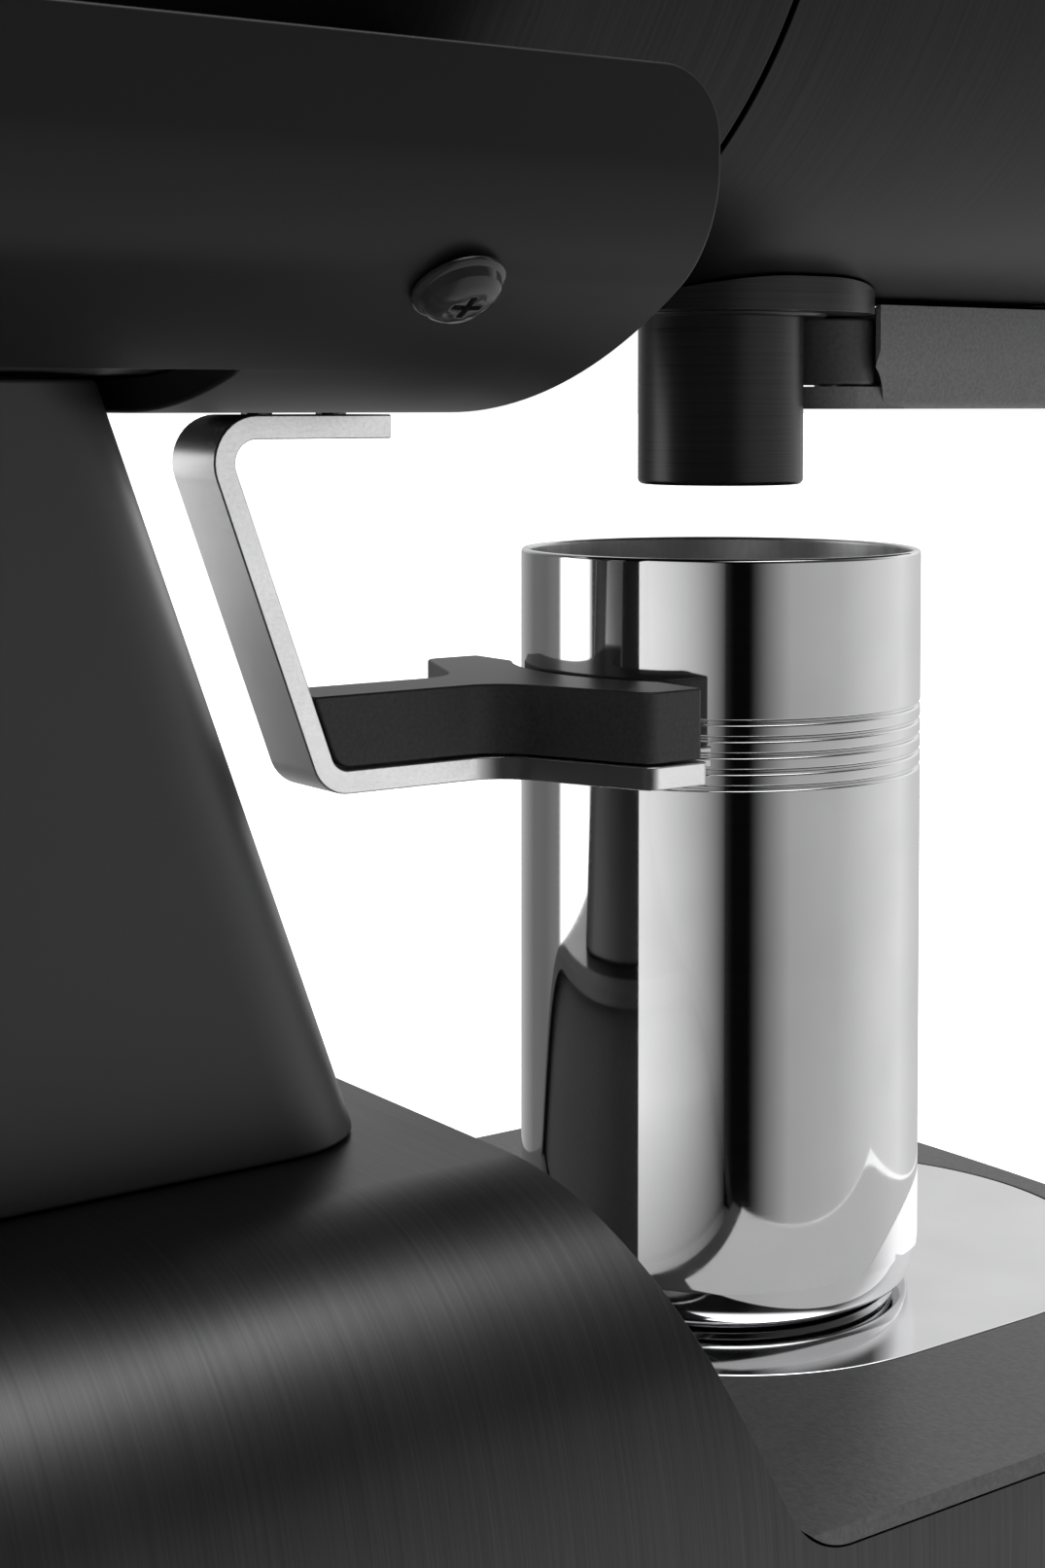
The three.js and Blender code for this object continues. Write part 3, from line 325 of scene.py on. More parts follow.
class Material(Nodes):
    """A material's nodes round its Principled shader."""

    def __init__(self, name, color, roughness, metallic=0.0):
        self.material = bpy.data.materials.new(name)
        self.material.use_nodes = True
        super().__init__(self.material.node_tree)
        self.shader = self.tree.nodes["Principled BSDF"]
        self.set("Base Color", (*color, 1))
        self.set("Roughness", roughness)
        self.set("Metallic", metallic)
        self.point = self.node("ShaderNodeTexCoord").outputs["Object"]

    def set(self, socket, value):
        self.shader.inputs[socket].default_value = value

    def stretched(self, scale):
        """The object's coordinates, scaled by a number for each axis."""
        mapping = self.node("ShaderNodeMapping")
        mapping.inputs["Scale"].default_value = scale
        self.join(self.point, mapping.inputs["Vector"])
        return mapping.outputs["Vector"]

    def noise(self, vector, scale=1.0, detail=3.0, rough=0.5):
        noise = self.node("ShaderNodeTexNoise")
        noise.inputs["Scale"].default_value = scale
        noise.inputs["Detail"].default_value = detail
        noise.inputs["Roughness"].default_value = rough
        self.join(vector, noise.inputs["Vector"])
        return noise.outputs["Fac"]

    def shade(self, value, dark, light):
        """Colours the surface from dark to light by a value."""
        mix = self.node("ShaderNodeMix", data_type="RGBA")
        mix.inputs["A"].default_value = (*dark, 1)
        mix.inputs["B"].default_value = (*light, 1)
        self.join(value, mix.inputs["Factor"])
        self.join(mix.outputs["Result"], self.shader.inputs["Base Color"])

    def rough(self, value):
        self.join(value, self.shader.inputs["Roughness"])

    def bump(self, value, strength, distance):
        bump = self.node("ShaderNodeBump")
        bump.inputs["Strength"].default_value = strength
        bump.inputs["Distance"].default_value = distance
        self.join(value, bump.inputs["Height"])
        self.join(bump.outputs["Normal"], self.shader.inputs["Normal"])


def grey(value):
    """A grey with a trace of blue."""
    return (value, value, value * 1.01)


def brushed(name, tone, roughness, stretch):
    """Metal with hairlines across Y: the smaller the stretch, the longer they are."""
    made = Material(name, grey(tone), roughness, 1.0)
    made.set("Anisotropic", 0.5)
    tangent = made.node("ShaderNodeTangent", direction_type="RADIAL", axis="Y")
    made.join(tangent.outputs["Tangent"], made.shader.inputs["Tangent"])
    lines = made.noise(made.stretched((stretch, 2600, stretch)), detail=4.0, rough=0.65)
    clouds = made.noise(made.point, scale=28.0, detail=2.0)
    made.shade(made.spread(lines, 0.0, 1.0), grey(tone * 0.84), grey(tone * 1.16))
    made.rough(made.spread(clouds, roughness * 0.94, roughness * 1.08))
    made.bump(lines, 0.35, 0.004 * MM)
    return made.material


def satin_black(name, tone, gloss):
    """Black paint with a fine, slightly uneven satin."""
    made = Material(name, grey(tone), 0.42)
    made.set("Specular IOR Level", gloss)
    grain = made.noise(made.point, scale=2600.0, detail=2.0)
    clouds = made.noise(made.point, scale=20.0, detail=3.0)
    made.rough(made.spread(clouds, 0.40, 0.46))
    made.bump(grain, 0.2, 0.006 * MM)
    return made.material


def turned_black():
    """Black metal with fine lines left by the lathe, running round a vertical axis."""
    made = Material("turned_black", grey(0.03), 0.3, 0.9)
    lines = made.noise(made.stretched((14, 14, 4200)), detail=4.0, rough=0.7)
    made.shade(made.spread(lines, 0.0, 1.0), grey(0.045), grey(0.075))
    made.rough(made.spread(lines, 0.26, 0.38))
    made.bump(lines, 0.3, 0.004 * MM)
    return made.material


def grained_plastic(name, tone, roughness, size, depth=0.05 * MM, strength=0.4):
    """Moulded plastic with a fine spark-eroded grain."""
    made = Material(name, grey(tone), roughness)
    grain = made.noise(made.point, scale=size, detail=2.0, rough=0.6)
    clouds = made.noise(made.point, scale=35.0, detail=3.0)
    made.shade(made.spread(grain, 0.0, 1.0), grey(tone * 0.8), grey(tone * 1.25))
    made.rough(made.spread(clouds, roughness * 0.93, roughness * 1.07))
    made.bump(grain, strength, depth)
    return made.material


def rubber():
    """Moulded rubber with a fine soft grain."""
    made = Material("black_rubber", grey(0.02), 0.42)
    grain = made.noise(made.point, scale=1900.0, detail=3.0, rough=0.6)
    made.shade(made.spread(grain, 0.0, 1.0), grey(0.015), grey(0.028))
    made.bump(grain, 0.5, 0.03 * MM)
    return made.material


def blasted():
    """Aluminium blasted with fine beads."""
    made = Material("blasted_aluminium", grey(0.8), 0.32, 1.0)
    grain = made.noise(made.point, scale=3400.0, detail=2.0, rough=0.6)
    clouds = made.noise(made.point, scale=60.0, detail=3.0)
    made.shade(made.spread(clouds, 0.0, 1.0), grey(0.75), grey(0.85))
    made.rough(made.spread(grain, 0.28, 0.38))
    made.bump(grain, 0.35, 0.008 * MM)
    return made.material


def polished():
    """Mirror-polished steel with faint polishing lines round the vertical axis."""
    tone = 0.78
    roughness = 0.05
    made = Material("polished_steel", grey(tone), roughness, 1.0)
    lines = made.noise(made.stretched((30, 30, 1600)), detail=4.0, rough=0.6)
    clouds = made.noise(made.point, scale=70.0, detail=2.0)
    made.shade(made.spread(clouds, 0.0, 1.0), grey(tone * 0.96), grey(tone * 1.03))
    made.rough(made.spread(lines, roughness * 0.7, roughness * 1.5))
    made.bump(lines, 0.06, 0.002 * MM)
    return made.material


def steel(name, tone, roughness):
    """Plain metal with the fine marks of the tool."""
    made = Material(name, grey(tone), roughness, 1.0)
    lines = made.noise(made.stretched((500, 500, 90)), detail=4.0, rough=0.6)
    made.shade(made.spread(lines, 0.0, 1.0), grey(tone * 0.85), grey(tone * 1.1))
    made.rough(made.spread(lines, roughness * 0.8, roughness * 1.25))
    made.bump(lines, 0.2, 0.005 * MM)
    return made.material


def glossy_screw():
    """Glossy black, a little worn."""
    made = Material("black_screw", grey(0.012), 0.16)
    wear = made.noise(made.point, scale=900.0, detail=4.0)
    made.rough(made.spread(wear, 0.12, 0.24))
    made.bump(wear, 0.15, 0.01 * MM)
    return made.material


def copper():
    """Enamelled copper wire, wound across Y."""
    made = Material("copper_winding", (0.45, 0.2, 0.09), 0.4, 0.8)
    turns = made.noise(made.stretched((90, 900, 90)), detail=2.0)
    made.shade(made.spread(turns, 0.0, 1.0), (0.3, 0.13, 0.05), (0.6, 0.28, 0.12))
    made.bump(turns, 0.6, 0.1 * MM)
    return made.material


def board():
    """Green solder resist over copper tracks."""
    made = Material("circuit_board", (0.02, 0.1, 0.045), 0.35)
    tracks = made.noise(made.stretched((300, 120, 40)), detail=1.0)
    made.shade(made.spread(tracks, 0.0, 1.0), (0.012, 0.07, 0.03), (0.03, 0.14, 0.06))
    made.bump(tracks, 0.2, 0.02 * MM)
    return made.material


def smoked():
    """Clear smoked plastic, a little uneven where it was moulded."""
    made = Material("smoked_plastic", grey(0.32), 0.06)
    made.set("Transmission Weight", 0.9)
    made.set("IOR", 1.49)
    flow = made.noise(made.point, scale=25.0, detail=2.0)
    made.rough(made.spread(flow, 0.05, 0.09))
    made.bump(flow, 0.05, 0.2 * MM)
    return made.material


# The finish of each material slot, and then the finishes that only some of its pieces have. The base
# sheet's and the column's are lighter copies of their slot's finish: painted light.
FINISHES = {
    "brushed_black": brushed("brushed_black_drum", 0.03, 0.36, 30),
    "satin_black": satin_black("satin_black", 0.005, 0.3),
    "black_plastic": grained_plastic("black_plastic", 0.03, 0.42, 1500.0),
    "grey_plastic": grained_plastic("grey_plastic", 0.075, 0.5, 1900.0),
    "black_rubber": rubber(),
    "blasted_aluminium": blasted(),
    "polished_steel": polished(),
    "plain_steel": steel("machined_steel", 0.5, 0.3),
    "cast_aluminium": steel("cast_aluminium", 0.42, 0.42),
    "copper_winding": copper(),
    "circuit_board": board(),
    "smoked_plastic": smoked(),
}
# Painted light: the drum's brushed black, made about three times lighter for the base sheet, stands in
# for the light on its sides.
SHEET_BLACK_LIT = brushed("brushed_black_sheet_lit_copy", 0.095, 0.34, 26)
# Painted light: the satin black, made lighter and glossier for the column, stands in for the light that
# falls on it.
COLUMN_SATIN_LIT = satin_black("satin_black_column_lit_copy", 0.012, 0.8)
TURNED = turned_black()
TRAY_PLASTIC = grained_plastic("tray_plastic", 0.06, 0.42, 1300.0, 0.09 * MM, 0.6)
CUP_INSIDE = steel("cup_inside", 0.75, 0.38)
SCREW = glossy_screw()


# ---- bent sheets ----
def second_bend(kind):
    """Radius and centre (x, z) of a channel's second bend, seen from its belly."""
    flat, bend, turn = kind["flat"], kind["bend"], kind["turn"]
    radius = (HALF_WIDTH - flat - bend * math.sin(turn)) / (1 - math.sin(turn))
    x = flat + (bend - radius) * math.sin(turn)
    z = bend - (bend - radius) * math.cos(turn)
    return radius, x, z


def section(kind, inset, top):
    """One edge of a channel's section, left to right, moved in by inset from a belly at z = 0."""
    flat, bend, turn = kind["flat"], kind["bend"], kind["turn"]
    radius, bend_x, bend_z = second_bend(kind)
    down = 1.5 * math.pi
    right = arc(flat, bend, bend - inset, down, down + turn, 24)
    right += arc(bend_x, bend_z, radius - inset, down + turn, 2 * math.pi, 24)[1:]
    right.append((HALF_WIDTH - inset, top))
    return [(-x, z) for x, z in reversed(right)] + right


def channel(kind, start, end, height):
    """A bent sheet from y = start to y = end, lying on its belly."""
    outline = section(kind, 0, height) + section(kind, SHEET, height)[::-1]
    return extruded(outline, start, end, along_y)


def cut_line(z):
    """Where the base's slanted front cut stands at that height."""
    return ARCH_FRONT + CUT_LEAN * (z - BASE[1].z)


def base_side(margin=0.0):
    """The base from the side as (y, z) points, grown by a margin along its low walls and slanted cut."""
    low, high = BASE
    front = low.y - margin
    wall_top = LOW_WALL_TOP + margin
    above = high.z + 2 * MM
    shift = margin * math.hypot(1, CUT_LEAN)
    corners = [
        (front, low.z),
        (high.y, low.z),
        (high.y, above),
        (cut_line(above) - shift, above),
        (cut_line(wall_top) - shift, wall_top),
        (front, wall_top),
    ]
    return rounded(corners, [0, 0, 0, 0, 10 * MM - margin, 6 * MM + margin], 16)


def base_shell():
    """The arch with its low front walls: a channel lying on its back, cut to its side view."""
    low, high = BASE
    sheet = channel(ARCH, low.y - MM, high.y + MM, high.z - low.z + 2 * MM)
    sheet.transform(Matrix.Translation((0, 0, high.z)) @ Matrix.Rotation(math.pi, 4, "Y"))
    keeper = extruded(base_side(), -HALF_WIDTH - MM, HALF_WIDTH + MM, across)
    obj = piece("base_sheet", shaped(sheet, [keeper], "INTERSECT"))
    soften(obj, 0.9 * MM)
    dress(obj, "brushed_black", "stand", "base_shell", material=SHEET_BLACK_LIT)


def cradle():
    """The upper sheet, with rounded ends and an opening in its belly over the column."""
    low, high = CRADLE
    top = high.z - low.z
    corners = [(low.y, -MM), (high.y, -MM), (high.y, top), (low.y, top)]
    side = rounded(corners, [0, 0, CRADLE_CORNER, CRADLE_CORNER], 16)
    sheet = channel(BELLY, low.y - MM, high.y + MM, top + 2 * MM)
    keeper = extruded(side, -HALF_WIDTH - MM, HALF_WIDTH + MM, across)
    mesh = shaped(sheet, [keeper], "INTERSECT")
    opening = rectangle(OPENING_HALF, OPENING_FRONT, OPENING_REAR)
    mesh = shaped(mesh, [extruded(opening, -MM, 3 * SHEET, upwards)])
    mesh.transform(Matrix.Translation((0, 0, low.z)))
    obj = piece("cradle_sheet", mesh)
    soften(obj, 1.3 * MM, 4)
    dress(obj, "satin_black", "stand", "cradle")


def column():
    """A leaning tube of rounded rectangular section."""
    low, high = COLUMN
    rear = high.y - LEAN * (high.z - low.z)

    def leaned(a, b, c):
        return (a, b + LEAN * (c - low.z), c)

    def outline(inset):
        plan = rectangle(high.x - inset, low.y + inset, rear - inset)
        return rounded(plan, [COLUMN_CORNER - inset] * 4, 24)

    outside = extruded(outline(0), low.z, high.z, leaned)
    inside = extruded(outline(COLUMN_WALL), low.z - MM, high.z + MM, leaned)
    obj = piece("column_tube", shaped(outside, [inside]))
    soften(obj, 0.5 * MM)
    dress(obj, "satin_black", "stand", "column", material=COLUMN_SATIN_LIT)


def cradle_screws():
    """Button-head screws with a flange and a crossed recess, square to the cradle's second bend."""
    turn = BELLY["turn"]
    radius, bend_x, bend_z = second_bend(BELLY)
    for side, word in ((-1, "left"), (1, "right")):
        inwards = Vector((-side * math.sin(turn), 0, math.cos(turn)))
        facing = Vector((0, 0, 1)).rotation_difference(inwards).to_matrix().to_4x4()
        for end in ("front", "rear"):
            node = f"cradle_screw_{end}_{word}"
            low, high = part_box(node)
            centre = Vector((side * bend_x, (low.y + high.y) / 2, CRADLE[0].z + bend_z))
            obj = piece(f"{node}_detail", screw_mesh())
            obj.matrix_world = Matrix.Translation(centre - inwards * radius) @ facing
            soften(obj, 0.25 * MM)
            dress(obj, "satin_black", "stand", node, material=SCREW)


def screw_mesh():
    """The head lies below z = 0 and the shank above it."""
    dome = [(0, -3.3), (2.0, -3.2), (3.3, -2.85), (4.1, -2.2), (4.45, -1.2)]
    flange = [(4.8, -1.1), (5.05, -0.85), (5.1, -0.45), (4.9, -0.3)]
    shank = [(2.3, -0.3), (2.3, 12), (0, 12)]
    body = turned(in_mm(dome + flange + shank), (0, 0, 0), steps=64)
    cross = []
    for wide, deep in ((1.75, 0.38), (0.38, 1.75)):
        outline = rectangle(wide * MM, -deep * MM, deep * MM)
        cross.append(extruded(outline, -5 * MM, -1.8 * MM, upwards))
    return shaped(body, cross)


# ---- bracket ----
def leg_front(z):
    """Where the front of the bracket's slanted leg stands at that height."""
    return LEG_FRONT + LEAN * (z - FORK_TOP)


def fork_outline(inset):
    """The fork from above, with the stem running back from it."""
    stem = STEM_HALF - inset
    wide = FORK_HALF - inset
    tip = FORK_TIP + inset
    tail = AXIS_Y + 100 * MM
    corners = [
        (stem, FORK_NECK),
        (stem, tail),
        (-stem, tail),
        (-stem, FORK_NECK),
        (-wide, FORK_SHOULDER),
        (-wide, tip),
        (wide, tip),
        (wide, FORK_SHOULDER),
    ]
    radii = [8 * MM, 0, 0, 8 * MM, 2.5 * MM, 0.8 * MM, 0.8 * MM, 2.5 * MM]
    return rounded(corners, radii, 10)


def forked(side, bottom, top, inset):
    """A side view carried across, cut to the fork's outline from above and by its round mouth."""
    past = 2 * MM
    strip = extruded(side, -FORK_HALF - past, FORK_HALF + past, across)
    plan = extruded(fork_outline(inset), bottom - past, top + past, upwards)
    mouth = rod(MOUTH_RADIUS + inset, bottom - past, top + past)
    return shaped(shaped(strip, [plan], "INTERSECT"), [turned(mouth, (0, AXIS_Y, 0))])


def fork_bracket():
    """A bent strip: a lug under the cradle, a slanted leg and the fork."""
    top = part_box("fork_bracket")[1].z
    lug_front = AXIS_Y + 60.3 * MM
    bottom = FORK_TOP - STRIP
    leg = 3.2 * MM
    side = rounded(
        [
            (lug_front, top),
            (lug_front, top - STRIP),
            (leg_front(top - STRIP), top - STRIP),
            (leg_front(FORK_TOP), FORK_TOP),
            (FORK_TIP - MM, FORK_TOP),
            (FORK_TIP - MM, bottom),
            (leg_front(bottom) + leg, bottom),
            (leg_front(top) + leg, top),
        ],
        [0, 0, 3 * MM, 2.5 * MM, 0, 0, 5.5 * MM, 6 * MM],
        12,
    )
    obj = piece("bracket_strip", forked(side, bottom, top, 0))
    soften(obj, 0.25 * MM)
    dress(obj, "blasted_aluminium", "stand", "fork_bracket")


def fork_pad():
    """The rubber moulding on the fork, with a back that slants as the leg does."""
    low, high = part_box("fork_pad")
    clear = 0.6 * MM
    front = AXIS_Y + 20 * MM
    corners = [
        (front, low.z),
        (leg_front(low.z) - clear, low.z),
        (leg_front(high.z) - clear, high.z),
        (front, high.z),
    ]
    side = rounded(corners, [0, 3 * MM, 0, 0])
    obj = piece("fork_pad_moulding", forked(side, low.z, high.z, 0.5 * MM))
    soften(obj, 1.1 * MM, 4)
    dress(obj, "black_rubber", "stand", "fork_pad")


# ---- cup, spout, flange and lever ----
def cup():
    """A turned cup: a standing ring, a rounded bottom edge, grooves at the fork and a rolled lip."""
    foot, rim = CUP[0].z, CUP[1].z
    radius = CUP[1].x
    lip = 0.6 * MM
    inner = radius - 2 * lip
    bowl = 4.5 * MM
    floor_z = foot + 2.2 * MM
    standing_ring = [(0, 1), (23, 1), (23.4, 0), (25.2, 0), (25.4, 0.1), (25.6, 0.9)]
    edge = [(27.1, 0.95), (27.45, 1.15)]
    edge += curve(edge[-1], (28.75, 2.8), (29, 6.5), 12)
    profile = in_mm(standing_ring + edge, foot)
    profile += cup_grooves(radius)
    profile += arc(radius - lip, rim - lip, lip, 0, math.pi, 10)
    profile += arc(inner - bowl, floor_z + bowl, bowl, 0, -math.pi / 2, 10)
    profile.append((0, floor_z))
    obj = piece("cup_body", turned(profile, (0, AXIS_Y, 0), steps=DRUM_STEPS), (0, AXIS_Y, 0))
    soften(obj, 0.1 * MM, 2, 40)
    dress(obj, "polished_steel", "cup", "cup")
    obj.data.materials.append(CUP_INSIDE)
    for face in obj.data.polygons:
        out = Vector(face.center[:2]).length
        if out < inner + 0.1 * MM and face.center.z > foot + 2 * MM:
            face.material_index = 1


def cup_grooves(radius):
    """The cup's side past five narrow grooves, evenly spaced, with a straight land between each two."""
    first = FORK_TOP - 4.7 * MM
    pitch = 2.22 * MM
    depth = 0.55 * MM
    groove = [(-0.45, 0), (-0.28, 0.35), (-0.12, 0.95), (0.12, 0.95), (0.28, 0.35), (0.45, 0)]
    points = []
    for i in range(5):
        centre = first + i * pitch
        points += [(radius - depth * share, centre + shift * MM) for shift, share in groove]
        if i < 4:
            points += [(radius, centre + pitch * 0.4), (radius, centre + pitch * 0.6)]
    return points


def spout():
    """A turned outlet tube with its lower edges eased."""
    low, high = SPOUT
    radius = high.x
    bore = radius - 2 * MM
    ease = 0.5 * MM
    profile = [(bore, low.z + ease), (bore + ease, low.z), (radius - ease, low.z)]
    profile += [(radius, low.z + ease), (radius, high.z), (bore, high.z)]
    obj = piece("spout_tube", turned(profile, (0, AXIS_Y, 0)), (0, AXIS_Y, 0))
    soften(obj, 0.25 * MM)
    dress(obj, "satin_black", "stand", "spout", material=TURNED)


def drum_tool(radius, start, end):
    """A horizontal bar on the drum's axis, for cutting."""
    return turned(rod(radius, start, end), (0, 0, DRUM_AXIS), upright=False)


def chute_flange():
    """The spout's plate, hollowed to fit under the drum, and the raised ring round the spout."""
    low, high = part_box("chute_flange")
    half = high.x
    shift = (high.y - low.y) / 2 - half
    plate = extruded(stadium(half, AXIS_Y - shift, AXIS_Y + shift, 48), low.z, high.z, upwards)
    saddle = drum_tool(DRUM_RADIUS + GAP, AXIS_Y - 2 * half, AXIS_Y + 2 * half)
    obj = piece("flange_plate", shaped(plate, [saddle]), (0, AXIS_Y, 0))
    soften(obj, 0.4 * MM)
    dress(obj, "satin_black", "stand", "chute_flange", material=TURNED)
    bore = SPOUT[1].x
    face = low.z - 0.5 * MM
    ring = [(bore, low.z), (bore, face), (15 * MM, face), (15.4 * MM, low.z)]
    seat = piece("flange_ring", turned(ring, (0, AXIS_Y, 0)), (0, AXIS_Y, 0))
    soften(seat, 0.15 * MM)
    dress(seat, "satin_black", "stand", material=TURNED)


def release_lever():
    """A bar that narrows towards its foot, and the tongue that turns on the pin under the post."""
    low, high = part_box("release_lever")
    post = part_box("lever_post")
    pin_y = (post[0].y + post[1].y) / 2
    half = high.x
    shoulder = 160 * MM  # height at which the bar has its full width
    foot = 5.5 * MM
    bar_rear = pin_y - 2.3 * MM
    post_clear = 8.3 * MM
    tongue_radius = 7 * MM
    tongue_half = 5 * MM
    tongue_front = pin_y - 11 * MM
    tongue_thick = 3.3 * MM
    outline = rounded(
        [
            (-foot, low.z),
            (foot, low.z),
            (half, shoulder),
            (half, high.z),
            (-half, high.z),
            (-half, shoulder),
        ],
        [2 * MM, 2 * MM, 0, 0, 0, 0],
    )
    bar = extruded(outline, low.y, bar_rear, along_y)
    around_post = turned(rod(post_clear, low.z - MM, high.z + MM), (0, pin_y, 0))
    plan = arc(0, pin_y, tongue_radius, 0, math.pi, 32)
    plan += [(-tongue_half, tongue_front), (tongue_half, tongue_front)]
    tongue = extruded(plan, low.z, low.z + tongue_thick, upwards)
    obj = piece("lever_bar", shaped(shaped(bar, [around_post]), [tongue], "UNION"))
    soften(obj, 0.35 * MM)
    dress(obj, "grey_plastic", "release_lever", "release_lever")
    boss = rod(post[1].x, post[0].z, post[1].z)
    obj = piece("lever_boss", turned(boss, (0, pin_y, 0), steps=96), (0, pin_y, 0))
    soften(obj, 0.5 * MM)
    dress(obj, "black_plastic", "stand", "lever_post")


# ---- tray ----
def drip_tray():
    """The tray's rim lies on the base's low walls, and its skirt hangs in front of them."""
    low, high = TRAY
    half = high.x
    slab_thick = 5 * MM
    pocket_depth = 1.8 * MM
    outline = bowed(half, low.y, cut_line(high.z))
    clear = extruded(base_side(GAP), -half - MM, half + MM, across)
    rim = shaped(extruded(outline, low.z, high.z, upwards), [clear])
    slab = rectangle(half - SHEET - MM, BASE[0].y + MM, cut_line(high.z) + 3 * MM)
    body = shaped(rim, [extruded(slab, high.z - slab_thick, high.z, upwards)], "UNION")
    pocket = extruded(plate_outline(GAP), high.z - pocket_depth, high.z + MM, upwards)
    obj = piece("tray_moulding", shaped(body, [pocket]))
    soften(obj, 0.5 * MM)
    dress(obj, "black_plastic", "stand", "drip_tray", material=TRAY_PLASTIC)


def bowed(half, front, rear):
    """The tray from above: square at the rear, bowed at the front with rounded corners."""
    side_end = front + 16 * MM
    corner = front + 5.4 * MM
    knee = front + 3.6 * MM
    shoulder = half - 14.5 * MM
    out = [(half, rear), (-half, rear), (-half, side_end)]
    out += curve((-half, side_end), (-half, corner), (-shoulder, knee), 12)
    out += curve((-shoulder, knee), (0, 2 * front - knee), (shoulder, knee), 32)
    out += curve((shoulder, knee), (half, corner), (half, side_end), 12)
    return out


def plate_outline(grow=0.0):
    """The steel plate from above, grown by that much."""
    low, high = PLATE
    radius = high.x
    return stadium(radius + grow, low.y + radius, high.y - radius, 64)


def tray_plate():
    """The polished plate let into the tray."""
    obj = piece("plate_inlay", extruded(plate_outline(), PLATE[0].z, PLATE[1].z, upwards))
    soften(obj, 0.3 * MM)
    dress(obj, "polished_steel", "stand", "tray_plate")


# ---- drum ----
def round_drum(name, profile, slot, body, node, tools=()):
    """A body turned about the drum's axis from (radius, y) points, with tools cut out of it."""
    mesh = turned(profile, (0, 0, DRUM_AXIS), upright=False, steps=DRUM_STEPS)
    if tools:
        mesh = shaped(mesh, tools)
    obj = piece(name, mesh, (0, 0, DRUM_AXIS))
    soften(obj, 0.35 * MM)
    dress(obj, slot, body, node)


def drum_shell(name, node, wall):
    """A round shell, as long as its CAD node."""
    low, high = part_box(node)
    inner = DRUM_RADIUS - wall
    profile = [(inner, low.y), (DRUM_RADIUS, low.y), (DRUM_RADIUS, high.y), (inner, high.y)]
    round_drum(name, profile, "brushed_black", "stand", node)


def adjust_ring():
    """The grind ring, fluted round its rim, with the sleeve that carries the fixed burr's holder."""
    low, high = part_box("adjust_ring")
    front = low.y
    rear = HEAD[0].y - GAP
    web = front + 16 * MM
    rim = DRUM_RADIUS - 6 * MM
    hub = 20 * MM
    sleeve = 32 * MM
    bore = 28 * MM
    profile = [(hub, web), (rim, web), (rim, front), (DRUM_RADIUS, front), (DRUM_RADIUS, rear)]
    profile += [(sleeve, rear), (sleeve, high.y), (bore, high.y), (bore, rear), (hub, rear)]
    count = 16
    reach = DRUM_RADIUS + 0.8 * MM
    flutes = []
    for i in range(count):
        turn = 2 * math.pi * i / count
        centre = (reach * math.sin(turn), 0, DRUM_AXIS + reach * math.cos(turn))
        cutter = rod(1.8 * MM, front + 3 * MM, rear - 3 * MM)
        flutes.append(turned(cutter, centre, upright=False, steps=24))
    round_drum("ring_body", profile, "brushed_black", "adjust_ring", "adjust_ring", flutes)


def front_cap():
    """A disc with a chamfered edge and the well that the start button sits in."""
    low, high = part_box("front_cap")
    front, rear = low.y, high.y
    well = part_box("start_button")[1].x + 0.4 * MM
    well_floor = rear - 2 * MM
    chamfer = 1.5 * MM
    profile = [(0, rear), (DRUM_RADIUS, rear), (DRUM_RADIUS, front + chamfer)]
    profile += [(DRUM_RADIUS - chamfer, front), (well, front), (well, well_floor), (0, well_floor)]
    round_drum("cap_disc", profile, "satin_black", "stand", "front_cap")


def start_button():
    """A domed push button with a turned edge and a hollow back for its spring."""
    low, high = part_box("start_button")
    face, rear, radius = low.y, high.y, high.x
    dome = 1.2 * MM
    hollow = radius - 2 * MM
    hollow_floor = rear - 4 * MM
    profile = []
    for share in (0, 0.3, 0.6, 0.8, 0.93):
        profile.append((radius * share, face + dome * (1 - math.sqrt(1 - share**4))))
    profile += [(radius, face + 1.4 * MM), (radius, rear), (hollow, rear)]
    profile += [(hollow, hollow_floor), (0, hollow_floor)]
    round_drum("button_head", profile, "plain_steel", "start_button", "start_button")


def rear_cap():
    """The motor's end cap, with rounded slots that let the cooling air out."""
    low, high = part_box("rear_cap")
    inner = DRUM_RADIUS - HOUSING_WALL
    floor_y = high.y - HOUSING_WALL
    profile = [(inner, low.y), (DRUM_RADIUS, low.y), (DRUM_RADIUS, high.y - 5 * MM)]
    profile += [(DRUM_RADIUS - 1.5 * MM, high.y - 1.5 * MM), (DRUM_RADIUS - 5 * MM, high.y), (0, high.y)]
    profile += [(0, floor_y), (inner, floor_y)]
    slot = rounded(rectangle(2 * MM, 22 * MM, 46 * MM), [1.9 * MM] * 4, 6)
    count = 10
    slots = []
    for i in range(count):
        turn = 2 * math.pi * i / count
        cos, sin = math.cos(turn), math.sin(turn)
        spun = [(a * cos + b * sin, DRUM_AXIS - a * sin + b * cos) for a, b in slot]
        slots.append(extruded(spun, high.y - 6 * MM, high.y + MM, along_y))
    round_drum("rear_end", profile, "black_plastic", "stand", "rear_cap", slots)


# ---- hopper ----
def upright_piece(name, profile, slot, body, node, centre, tools=()):
    """A body turned about a vertical axis from (radius, z) points, with tools cut out of it."""
    mesh = turned(profile, centre, steps=160)
    if tools:
        mesh = shaped(mesh, tools)
    obj = piece(name, mesh, centre)
    soften(obj, 0.4 * MM)
    dress(obj, slot, body, node)


